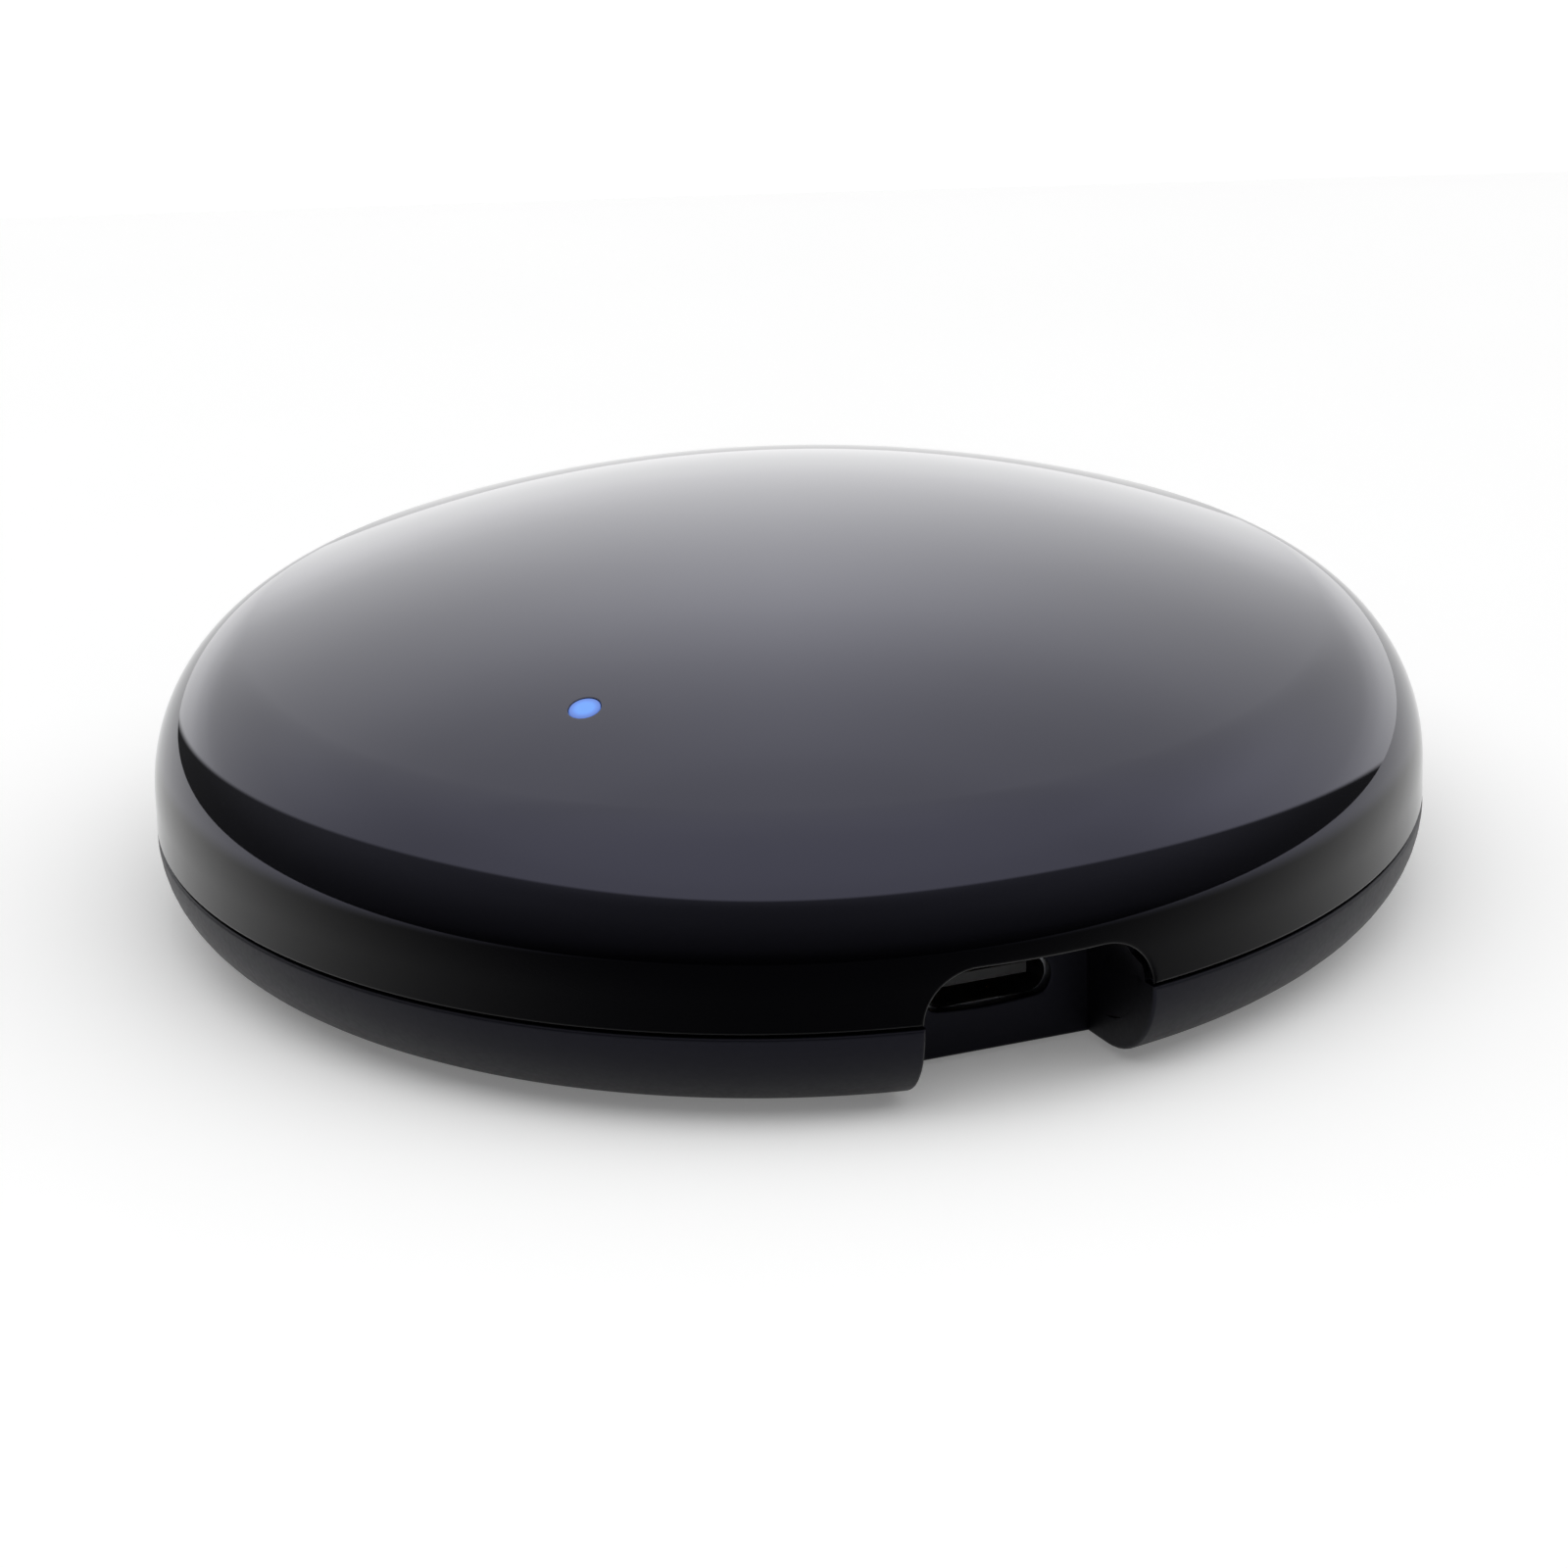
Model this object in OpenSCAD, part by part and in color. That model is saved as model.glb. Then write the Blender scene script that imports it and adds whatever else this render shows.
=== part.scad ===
// Smart infrared blaster: a low domed puck that stands on a rubber ring and takes a USB-C plug.
// The origin is the centre of the standing face, +Z is up, and the plug pocket faces -Y.
// Heights inside the covers are measured from the underside of the bottom cover.

/* [Body] */
// Outer diameter of the round body
body_d = 84; // [80:1:90]
// Height of the two covers together, without the foot ring
body_h = 25.2; // [24.6:0.2:28]
// Wall thickness of both covers
shell_wall = 2; // [1.8:0.1:2.2]
// Radius of the round lower edge, which ends at the seam
edge_r = 6; // [5.8:0.1:6.6]
// Height of the upright wall above the seam
wall_rise = 2.7; // [2.2:0.1:3.2]
// Radius of the shoulder between the wall and the crown
shoulder_r = 10.4; // [9.6:0.2:11]

/* [Seam] */
// Open line between the two covers
seam_gap = 0.15; // [0.1:0.05:0.3]
// Height of the locating lip above the seam
lip_h = 1.5; // [1:0.1:2]
// Thickness of the top cover's skirt outside the lip
skirt_t = 1; // [0.8:0.05:1.2]
// Clearance between the lip and the skirt
lip_gap = 0.1; // [0.05:0.05:0.2]
// Clearance between the pocket walls and the top cover
cover_gap = 0.15; // [0.1:0.05:0.3]
// Bevel of both covers' outer edges at the seam
seam_bevel = 0.2; // [0.1:0.05:0.3]

/* [Plug pocket] */
// Distance from the rim to the face of the back wall
pocket_depth = 9; // [8:0.2:10]
// Width of the pocket at the back wall
pocket_back_w = 13.6; // [13:0.2:14.2]
// Width of the pocket at the rim
pocket_w = 15.3; // [14.6:0.1:16]
// Height of the pocket's arch above the underside
pocket_h = 9.55; // [9:0.05:10]
// Radius of the arch's upper corners
pocket_corner_r = 3.5; // [2.5:0.1:4]
// Thickness of the pocket's side walls and roof
pocket_wall = 1.6; // [1.3:0.1:2]
// Thickness of the pocket's back wall
pocket_back_t = 1.8; // [1.5:0.1:2.2]

/* [USB-C socket] */
// Height of the socket's centre above the underside
usb_z = 4.45; // [4.3:0.05:4.6]
// Outer width of the socket's steel shell
usb_w = 8.94; // [8.9:0.02:9.2]
// Outer height of the socket's steel shell
usb_h = 3.16; // [3.1:0.02:3.3]
// Length of the socket's steel shell
usb_len = 7.35; // [6.8:0.05:8]
// Thickness of the steel sheet
usb_sheet = 0.3; // [0.25:0.01:0.35]
// Width of the contact tongue
tongue_w = 6.69; // [6.4:0.01:6.8]
// Thickness of the contact tongue
tongue_t = 0.7; // [0.6:0.02:0.8]
// Distance from the mouth to the tip of the tongue
tongue_back = 0.9; // [0.6:0.05:1.4]
// Length of the block behind the tongue
tongue_block = 2; // [1.6:0.1:2.6]
// Spacing of the contacts
contact_pitch = 0.5; // [0.45:0.01:0.52]
// Width of one contact
contact_w = 0.25; // [0.2:0.01:0.3]
// Thickness of one contact
contact_t = 0.12; // [0.08:0.01:0.15]
// Thickness of the web in front of the socket
usb_web = 0.6; // [0.4:0.05:0.8]
// Clearance round the socket
usb_gap = 0.15; // [0.1:0.05:0.25]
// Width of the socket's solder legs
leg_w = 1.1; // [0.9:0.1:1.3]
// Height of the legs' ends above the main board
leg_tail = 0.4; // [0.3:0.1:0.6]

/* [Main board] */
// Distance from the rim to the edge of the main board
board_inset = 5.5; // [4.6:0.1:6.5]
// Thickness of the main board
board_t = 1.6; // [1.4:0.1:1.8]
// Room for solder between the board and what is mounted on it
solder_gap = 0.07; // [0.05:0.01:0.1]
// Room between the board and the pocket walls
board_gap = 0.4; // [0.3:0.1:0.8]
// Distance from the case screws' circle to the board posts' circle
post_inset = 7.7; // [7:0.1:8.5]
// Angle from the pocket to the side posts
post_angle = 60; // [55:1:65]
// Diameter of the board posts
post_d = 5; // [4.6:0.1:5.4]

/* [Screws] */
// Thread diameter of the screws
screw_d = 2; // [1.8:0.1:2.2]
// Head diameter of the screws
head_d = 3.8; // [3.5:0.1:4]
// Head height of the screws
head_h = 1.3; // [1.1:0.1:1.5]
// Length of the board screws
board_screw_len = 5; // [4:0.5:5.5]
// Length of the case screws
case_screw_len = 8; // [7:0.5:10]
// Distance from the rim to the case screws
case_inset = 14.5; // [14:0.1:15.5]
// Thickness of plastic under a case screw's head
case_web = 1.2; // [1:0.1:1.6]
// Diameter of the top cover's screw bosses
boss_d = 5; // [4.6:0.1:5.2]
// Clearance round a screw's head and shank
screw_gap = 0.2; // [0.15:0.05:0.3]

/* [Foot ring] */
// Width of the foot ring
foot_w = 7; // [6.4:0.1:7.4]
// Thickness of the foot ring
foot_t = 1.3; // [1.2:0.1:1.5]
// Height that the foot ring stands proud
foot_proud = 0.5; // [0.4:0.1:0.7]
// Clearance at the sides of the foot ring
foot_gap = 0.1; // [0.05:0.05:0.2]

/* [Infrared emitters] */
// Diameter of an emitter's lens
led_d = 5; // [4.8:0.1:5.2]
// Diameter of an emitter's flange
led_flange_d = 5.8; // [5.6:0.1:6]
// Thickness of an emitter's flange
led_flange_t = 1; // [0.8:0.1:1.2]
// Length of an emitter without its leads
led_len = 8.7; // [8:0.1:9]
// Distance from the rim to the tips of the emitters
led_inset = 3.8; // [3.4:0.1:4.5]
// Angle from the pocket to the nearest emitter
led_first = 30; // [28:1:34]
// Emitters on each side of the pocket
led_side_count = 4; // [4:1:4]
// Width of the square leads
lead_t = 0.5; // [0.4:0.05:0.6]
// Spacing of the leads
lead_pitch = 2.54; // [2.4:0.01:2.6]
// Length of lead between an emitter and its bend
lead_run = 1.5; // [1.2:0.1:1.8]
// Length of lead below the main board
lead_tail = 0.8; // [0.6:0.1:1.2]
// Clearance round a lead in its hole
lead_gap = 0.1; // [0.08:0.02:0.15]

/* [Infrared receiver] */
// Width of the receiver
receiver_w = 6; // [5.6:0.1:6.4]
// Depth of the receiver
receiver_depth = 4; // [3.6:0.1:4.4]
// Height of the receiver
receiver_h = 7; // [6.4:0.1:7.6]
// Radius of the receiver's round lens
receiver_lens_r = 2.3; // [2:0.1:2.6]
// Distance from the pocket's back wall to the receiver's leads
receiver_back = 12.5; // [12:0.1:13]
// Height of the receiver above the board
receiver_lift = 1; // [0.8:0.1:1.4]

/* [Status light] */
// Diameter of the light pipe
pipe_d = 2; // [1.8:0.1:2.2]
// Distance from the rim to the light pipe
pipe_inset = 14.6; // [13.5:0.1:15.5]
// Angle from the pocket to the light pipe, towards the left
pipe_angle = 48.5; // [47:0.5:50]
// Diameter of the light pipe's flange
pipe_flange_d = 4; // [3.6:0.1:4.2]
// Thickness of the light pipe's flange
pipe_flange_t = 1; // [0.8:0.1:1.2]
// Length of the light pipe's boss below the crown
pipe_boss_len = 2.4; // [2:0.1:3]
// Diameter of the light pipe's boss
pipe_boss_d = 4.8; // [4.4:0.1:5.2]
// Clearance of the light pipe in its hole
pipe_gap = 0.05; // [0.03:0.01:0.08]
// Gap between the light pipe and the status light
pipe_air = 0.3; // [0.3:0.1:0.6]

/* [Reset button] */
// Distance from the receiver's leads to the reset button, towards the middle
reset_back = 8.5; // [8:0.1:9]
// Diameter of the reset button
reset_d = 5.8; // [5.4:0.1:6.2]
// Diameter of the reset button's flange
reset_flange_d = 7.6; // [7.4:0.1:8]
// Thickness of the reset button's flange
reset_flange_t = 0.6; // [0.5:0.05:0.7]
// Depth of the reset button below the underside's face
reset_recess = 0.3; // [0.2:0.1:0.5]
// Bevel round the reset button's face
reset_bevel = 0.3; // [0.2:0.05:0.4]
// Clearance round the reset button
reset_gap = 0.2; // [0.15:0.05:0.3]
// Travel of the reset button
reset_travel = 0.25; // [0.2:0.05:0.3]
// Play between the reset button and what it touches
reset_play = 0.05; // [0.04:0.01:0.08]
// Width of the reset switch
switch_w = 6; // [5.8:0.1:6.4]
// Diameter of the switch's plunger
plunger_d = 3.4; // [3.2:0.1:3.6]
// Height that the plunger stands out of the switch
plunger_out = 0.7; // [0.6:0.05:0.8]
// Depth of the plunger inside the switch
plunger_in = 0.9; // [0.8:0.05:1]
// Clearance of the plunger in the switch
plunger_gap = 0.08; // [0.06:0.01:0.1]
// Thickness of the switch's steel plate
switch_plate = 0.25; // [0.2:0.05:0.3]

/* [Radio module] */
// Width of the radio module's board
radio_w = 13.2; // [12.6:0.1:14]
// Length of the radio module's board
radio_len = 16.6; // [16:0.1:18]
// Thickness of the radio module's board
radio_t = 0.8; // [0.7:0.1:1]
// Width of the radio shield
shield_w = 11.2; // [10.5:0.1:12]
// Length of the radio shield
shield_len = 11; // [10:0.1:11.5]
// Height of the radio shield
shield_h = 2.4; // [2:0.1:3]
// Sheet thickness of the radio shield
shield_t = 0.3; // [0.2:0.05:0.35]
// Corner radius of the radio shield
shield_corner_r = 1; // [0.8:0.1:1.5]
// Spacing of the module's edge pads
pad_pitch = 1.5; // [1.4:0.05:1.6]
// Diameter of the module's edge pads
pad_d = 0.8; // [0.6:0.05:1]
// Edge pads on each side of the module
pad_count = 8; // [6:1:8]

/* [Small components] */
// Length of a chip resistor, chip capacitor or chip light
chip_len = 2; // [1.8:0.1:2.2]
// Width of a chip resistor, chip capacitor or chip light
chip_w = 1.25; // [1.1:0.05:1.4]
// Height of a chip resistor
resistor_h = 0.5; // [0.4:0.05:0.6]
// Height of a chip capacitor
chip_cap_h = 0.9; // [0.8:0.05:1.1]
// Height of the status light
status_h = 0.8; // [0.7:0.05:0.9]
// Distance from the emitters' leads to their resistors
resistor_inset = 4.5; // [4.2:0.1:4.8]
// Diameter of the bulk capacitor's can
cap_d = 6.3; // [6:0.1:6.6]
// Height of the bulk capacitor's can
cap_h = 5.4; // [5:0.1:6]
// Width of the bulk capacitor's base
cap_base_w = 6.6; // [6.6:0.1:6.8]
// Height of the bulk capacitor's base
cap_base_h = 0.8; // [0.6:0.1:1]
// Room between components that sit side by side
part_gap = 1.5; // [1.3:0.1:1.8]
// Width of the regulator's body
regulator_w = 6.5; // [6.2:0.1:6.8]
// Depth of the regulator's body
regulator_depth = 3.5; // [3.3:0.1:3.8]
// Height of the regulator's body
regulator_h = 1.6; // [1.4:0.1:1.8]
// Length of a driver transistor's body
driver_len = 2.9; // [2.7:0.1:3.1]
// Width of a driver transistor's body
driver_w = 1.3; // [1.2:0.05:1.5]
// Height of a driver transistor's body
driver_h = 1; // [0.9:0.05:1.2]

/* [Hidden] */
SIDES = [-1, 1];
LED_COUNT = 2 * led_side_count;

// Facets of a large round, of the nearly flat crown and of a small round
$fn = 96;
crown_fn = 360;
small_fn = 32;
// Overrun of every cut past the face that it opens
cut_over = 0.5;
// Clearance of a screw in the thread that it has cut
thread_gap = 0.02;

// Body profile: base flat, round edge, upright wall, shoulder and crown, each tangent to the next
body_r = body_d / 2;
base_r = body_r - edge_r;
seam_z = edge_r;
wall_top = seam_z + wall_rise;
shoulder_x = body_r - shoulder_r;
crown_rise = body_h - wall_top;
crown_r = (pow(shoulder_x, 2) + pow(crown_rise, 2) - pow(shoulder_r, 2)) / (2 * (crown_rise - shoulder_r));
crown_z = body_h - crown_r;
shoulder_a = atan2(wall_top - crown_z, shoulder_x);
inner_r = body_r - shell_wall;
// Thickness of the ribs inside both covers
rib_t = shell_wall / 2;

// Places measured in from the rim
pocket_y = body_r - pocket_depth;
board_r = body_r - board_inset;
case_screw_r = body_r - case_inset;
led_tip_r = body_r - led_inset;
pipe_r = body_r - pipe_inset;
post_r = case_screw_r - post_inset;

// Board heights, which follow from the socket under the board
board_z = usb_z + usb_h / 2 + solder_gap;
board_top = board_z + board_t;
led_z = board_top + led_flange_d / 2;
led_base_r = led_tip_r - led_len;
lead_r = led_base_r - lead_run;
led_step = (180 - 2 * led_first) / (led_side_count - 1);

// Socket places along Y
usb_mouth_y = pocket_y - usb_web - solder_gap;
usb_back_y = usb_mouth_y - usb_len;
contact_count = 12;

// Solder legs of the socket: a pair near the board's slot and a pair at the back
slot_y = pocket_y - pocket_back_t - board_gap;
leg_places = [usb_back_y + usb_sheet, slot_y - 2 * leg_w];
// The legs are thinner than the sheet, so that they stay inside its faces
leg_t = usb_sheet / 2;

// Case screw heights
groove_depth = foot_t - foot_proud;
counterbore_h = head_h + screw_gap;
case_seat_z = groove_depth + counterbore_h;
case_post_top = case_seat_z + case_web;
case_post_d = head_d + 2 * (screw_gap + case_web);
case_angles = [90, -90, 180];

// Reset button and switch heights
floor_top = shell_wall;
reset_flange_z = floor_top + reset_play;
reset_top = reset_flange_z + reset_flange_t;
plunger_tip_z = reset_top + reset_play;
switch_z = plunger_tip_z + plunger_out;
plunger_top = switch_z + plunger_in;
switch_lead_w = 0.7;
switch_lead_x_share = 0.36;

// Light pipe heights
function crown_at(r, inset) = crown_z + sqrt(pow(crown_r - inset, 2) - r * r);
pipe_flange_z = crown_at(pipe_r, shell_wall) - pipe_boss_len - pipe_flange_t;
pipe_low = board_top + status_h + pipe_air;

// Places on the board
post_angles = [-post_angle, post_angle, 180];
driver_angles = [-35, 35, -140, 140];
resistor_r = lead_r - resistor_inset;
receiver_y = pocket_y - receiver_back;
reset_y = receiver_y - reset_back;
boss_room_x = case_screw_r - boss_d / 2 - board_gap - part_gap;
cap_x = boss_room_x - cap_base_w / 2;
regulator_x = boss_room_x - regulator_depth;
chip_cap_x = radio_w / 2 + part_gap;
chip_cap_y = radio_len / 2 - part_gap - chip_len / 2;

// Puts a child at its height above the standing surface
module on_feet() {
    translate([0, 0, foot_proud]) children();
}

// Puts a child at a distance from the axis and an angle from the pocket, facing outwards along -Y
module at_angle(angle, distance) {
    rotate([0, 0, angle]) translate([0, -distance, 0]) children();
}

// Half profile of the bowl under the seam, moved inwards by the inset
module bowl_half(inset) {
    translate([0, inset]) square([base_r, seam_z - inset]);
    intersection() {
        translate([base_r, edge_r]) circle(r = edge_r - inset);
        translate([base_r, 0]) square([edge_r, edge_r]);
    }
}

// Half profile of the dome from a height upwards, moved inwards by the inset
module dome_half(inset, low) {
    join_x = (crown_r - inset) * cos(shoulder_a);
    intersection() {
        translate([0, crown_z]) circle(r = crown_r - inset, $fn = crown_fn);
        translate([0, low]) square([join_x, body_h]);
    }
    intersection() {
        translate([shoulder_x, wall_top]) circle(r = shoulder_r - inset);
        translate([join_x, wall_top]) square([shoulder_r, shoulder_r]);
    }
    translate([0, low]) square([body_r - inset, wall_top - low]);
}

// Outline of the pocket's arch, with round upper corners
module arch(width, height, corner) {
    translate([-width / 2, -cut_over]) square([width, height - corner + cut_over]);
    translate([corner - width / 2, -cut_over]) square([width - 2 * corner, height + cut_over]);
    for (side = SIDES) translate([side * (width / 2 - corner), height - corner]) circle(r = corner);
}

// Bar with round ends, as the socket's cross-section
module stadium(width, height) {
    square([width - height, height], center = true);
    for (side = SIDES) translate([side * (width - height) / 2, 0]) circle(d = height, $fn = small_fn);
}

// Extrudes an outline that stands in X and Z outwards from a distance, for a length along -Y
module outwards(distance, length) {
    translate([0, -distance, 0]) rotate([90, 0, 0]) linear_extrude(length) children();
}

// Air in the plug pocket: the arch, narrowed in plan towards the back wall
module pocket_space() {
    back = pocket_back_w / 2;
    front = pocket_w / 2;
    intersection() {
        outwards(pocket_y, body_r) arch(pocket_w, pocket_h, pocket_corner_r);
        translate([0, 0, -cut_over]) linear_extrude(pocket_h + 2 * cut_over) polygon([
            [-back, -pocket_y], [back, -pocket_y],
            [front, -body_r], [front, -body_r - cut_over],
            [-front, -body_r - cut_over], [-front, -body_r]
        ]);
    }
}

// Walls and roof of the pocket, kept inside the bowl and inside the top cover
module pocket_walls() {
    intersection() {
        outwards(pocket_y - pocket_back_t, body_r)
            arch(pocket_w + 2 * pocket_wall, pocket_h + pocket_wall, pocket_corner_r + pocket_wall);
        rotate_extrude() {
            bowl_half(0);
            dome_half(shell_wall + cover_gap, seam_z);
        }
    }
}

// Cutter that bevels the outer edge of a cover at the seam, for an edge that faces down (-1) or up (1)
module seam_edge(z, way) {
    reach = seam_bevel + cut_over;
    rotate_extrude() polygon([
        [body_r - reach, z + way * cut_over],
        [body_r + cut_over, z + way * cut_over],
        [body_r + cut_over, z - way * reach]
    ]);
}

// Opening for the socket: a web the size of its mouth, and a seat for its shell behind the web
module usb_opening() {
    translate([0, 0, usb_z]) {
        outwards(pocket_y - usb_web - cut_over, usb_web + 2 * cut_over)
            stadium(usb_w - 2 * usb_sheet + 2 * usb_gap, usb_h - 2 * usb_sheet + 2 * usb_gap);
        outwards(pocket_y - pocket_back_t - cut_over, pocket_back_t - usb_web + cut_over)
            stadium(usb_w + 2 * usb_gap, usb_h + 2 * usb_gap);
    }
}

module bottom_cover() {
    lip_out_r = body_r - skirt_t - lip_gap;
    lip_in_r = inner_r - cover_gap;
    color("#17181b") on_feet() difference() {
        union() {
            rotate_extrude() difference() {
                bowl_half(0);
                bowl_half(shell_wall);
                translate([0, seam_z - cut_over]) square([inner_r, 2 * cut_over]);
            }
            rotate_extrude() translate([lip_in_r, seam_z - lip_h]) square([lip_out_r - lip_in_r, 2 * lip_h]);
            pocket_walls();
            for (angle = post_angles) at_angle(angle, post_r) cylinder(d = post_d, h = board_z);
            for (angle = case_angles) at_angle(angle, case_screw_r)
                cylinder(d = case_post_d, h = case_post_top);
            intersection() {
                rotate_extrude() bowl_half(rib_t);
                for (angle = case_angles) at_angle(angle, body_r)
                    translate([-rib_t / 2, 0, 0]) cube([rib_t, body_r - case_screw_r, case_post_top]);
            }
        }
        pocket_space();
        usb_opening();
        seam_edge(seam_z, 1);
        rotate_extrude() translate([case_screw_r - foot_w / 2 - foot_gap, -cut_over])
            square([foot_w + 2 * foot_gap, groove_depth + cut_over]);
        for (angle = post_angles) at_angle(angle, post_r) translate([0, 0, floor_top])
            cylinder(d = screw_d + 2 * thread_gap, h = board_z, $fn = small_fn);
        for (angle = case_angles) at_angle(angle, case_screw_r) {
            cylinder(d = head_d + 2 * screw_gap, h = case_seat_z);
            cylinder(d = screw_d + 2 * screw_gap, h = case_post_top + cut_over, $fn = small_fn);
        }
        translate([0, -reset_y, -cut_over])
            cylinder(d = reset_d + 2 * reset_gap, h = floor_top + 2 * cut_over);
    }
}

module top_cover() {
    low = seam_z + seam_gap;
    pipe_boss_z = pipe_flange_z + pipe_flange_t;
    rib_low = wall_top + led_flange_d;
    color("#0b0c0e") on_feet() difference() {
        union() {
            rotate_extrude() difference() {
                dome_half(0, low);
                dome_half(shell_wall, low - cut_over);
                translate([0, low - cut_over]) square([body_r - skirt_t, cut_over + lip_h + lip_gap]);
            }
            intersection() {
                rotate_extrude() dome_half(shell_wall / 2, case_post_top);
                union() {
                    for (angle = case_angles) at_angle(angle, case_screw_r) {
                        translate([0, 0, case_post_top]) cylinder(d = boss_d, h = body_h);
                        translate([-rib_t / 2, -(body_r - case_screw_r), rib_low])
                            cube([rib_t, 2 * (body_r - case_screw_r), body_h]);
                    }
                    at_angle(-pipe_angle, pipe_r) translate([0, 0, pipe_boss_z])
                        cylinder(d = pipe_boss_d, h = body_h);
                }
            }
        }
        outwards(pocket_y, body_r) arch(pocket_w, pocket_h, pocket_corner_r);
        seam_edge(low, -1);
        for (angle = case_angles) at_angle(angle, case_screw_r) translate([0, 0, case_post_top - cut_over])
            cylinder(d = screw_d + 2 * thread_gap, h = case_screw_len + cut_over, $fn = small_fn);
        at_angle(-pipe_angle, pipe_r) cylinder(d = pipe_d + 2 * pipe_gap, h = body_h, $fn = small_fn);
    }
}

module foot_ring() {
    // Chamfer of the ring's lower edges
    bevel = foot_proud / 2;
    inside = case_screw_r - foot_w / 2;
    outside = case_screw_r + foot_w / 2;
    color("#202123") rotate_extrude() polygon([
        [inside + bevel, 0], [outside - bevel, 0], [outside, bevel],
        [outside, foot_t], [inside, foot_t], [inside, bevel]
    ]);
}

// Pan head screw with a cross recess, head down and thread up from the seat
module screw(length) {
    slot_len = head_d / 2;
    slot_w = head_h / 3;
    slot_depth = head_h / 2;
    difference() {
        union() {
            cylinder(d = screw_d, h = length, $fn = small_fn);
            rotate_extrude($fn = small_fn) intersection() {
                translate([0, -head_h]) square([head_d / 2, head_h]);
                translate([0, head_d - head_h]) circle(r = head_d);
            }
        }
        for (turn = [0, 90]) rotate([0, 0, turn]) translate([-slot_len / 2, -slot_w / 2, -head_h - cut_over])
            cube([slot_len, slot_w, slot_depth + cut_over]);
    }
}

module case_screws() {
    color("silver") on_feet() for (angle = case_angles) at_angle(angle, case_screw_r)
        translate([0, 0, case_seat_z]) screw(case_screw_len);
}

module board_screws() {
    color("silver") on_feet() for (angle = post_angles) at_angle(angle, post_r)
        translate([0, 0, board_top]) mirror([0, 0, 1]) screw(board_screw_len);
}

module reset_button() {
    color("#2a2b2e") on_feet() translate([0, -reset_y, 0]) rotate_extrude() polygon([
        [0, reset_recess], [reset_d / 2 - reset_bevel, reset_recess],
        [reset_d / 2, reset_recess + reset_bevel], [reset_d / 2, reset_flange_z],
        [reset_flange_d / 2, reset_flange_z],
        [reset_flange_d / 2, reset_top], [0, reset_top]
    ]);
}

// Light pipe whose tip follows the crown
module light_pipe() {
    color("#5e98f2") on_feet() intersection() {
        at_angle(-pipe_angle, pipe_r) {
            translate([0, 0, pipe_low]) cylinder(d = pipe_d, h = body_h, $fn = small_fn);
            translate([0, 0, pipe_flange_z]) cylinder(d = pipe_flange_d, h = pipe_flange_t);
        }
        rotate_extrude() dome_half(0, board_z);
    }
}

module main_board() {
    slot_w = pocket_w + 2 * (pocket_wall + board_gap);
    hole = lead_t * sqrt(2) + 2 * lead_gap;
    leg_hole_w = leg_w + 2 * lead_gap;
    leg_hole_t = leg_t + 2 * lead_gap;
    color("#1c5b34") on_feet() translate([0, 0, board_z]) difference() {
        cylinder(r = board_r, h = board_t);
        translate([-slot_w / 2, -slot_y - board_r, -cut_over])
            cube([slot_w, board_r, board_t + 2 * cut_over]);
        translate([0, 0, -cut_over]) {
            for (angle = post_angles) at_angle(angle, post_r)
                cylinder(d = screw_d + 2 * screw_gap, h = board_t + 2 * cut_over, $fn = small_fn);
            for (angle = case_angles) at_angle(angle, case_screw_r)
                cylinder(d = boss_d + 2 * board_gap, h = board_t + 2 * cut_over);
            for (i = [1 : LED_COUNT]) at_angle(led_angle(i), lead_r) for (side = SIDES)
                translate([side * lead_pitch / 2, 0, 0])
                    cylinder(d = hole, h = board_t + 2 * cut_over, $fn = small_fn);
            for (side = [-1, 0, 1]) translate([side * lead_pitch, -receiver_y, 0])
                cylinder(d = hole, h = board_t + 2 * cut_over, $fn = small_fn);
            for (side = SIDES) for (y = leg_places)
                translate([side * (usb_w - usb_sheet) / 2 - leg_hole_t / 2, -y - leg_w - lead_gap, 0])
                    cube([leg_hole_t, leg_hole_w, board_t + 2 * cut_over]);
        }
    }
}

module usb_shell() {
    color("silver") on_feet() translate([0, 0, usb_z]) {
        outwards(usb_back_y + usb_sheet, usb_len - usb_sheet) difference() {
            stadium(usb_w, usb_h);
            stadium(usb_w - 2 * usb_sheet, usb_h - 2 * usb_sheet);
        }
        outwards(usb_back_y, usb_sheet) stadium(usb_w, usb_h);
        for (side = SIDES) for (y = leg_places)
            translate([side * (usb_w - usb_sheet) / 2 - leg_t / 2, -y - leg_w, 0])
                cube([leg_t, leg_w, board_top + leg_tail - usb_z]);
    }
}

module usb_tongue() {
    block_y = usb_back_y + usb_sheet + solder_gap;
    block_w = usb_w - 2 * (usb_sheet + solder_gap);
    block_h = usb_h - 2 * (usb_sheet + solder_gap);
    tip_y = usb_mouth_y - tongue_back;
    color("#26272a") on_feet() translate([0, 0, usb_z]) {
        outwards(block_y, tongue_block) stadium(block_w, block_h);
        outwards(block_y, tip_y - block_y) square([tongue_w, tongue_t], center = true);
    }
}

module usb_contacts() {
    // Set back of the contacts from the tongue's tip
    tip_margin = contact_pitch;
    from_y = usb_back_y + usb_sheet + solder_gap + tongue_block;
    to_y = usb_mouth_y - tongue_back - tip_margin;
    color("#c9a24a") on_feet() translate([0, 0, usb_z])
        for (row = SIDES) for (i = [0 : contact_count - 1])
            translate([(i - (contact_count - 1) / 2) * contact_pitch, 0, row * (tongue_t + contact_t) / 2])
                outwards(from_y, to_y - from_y) square([contact_w, contact_t], center = true);
}

// Angle of an emitter from the pocket: the first half to the right, the others to the left
function led_angle(i) =
    i <= led_side_count ? led_first + (i - 1) * led_step
        : -(led_first + (i - led_side_count - 1) * led_step);

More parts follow.
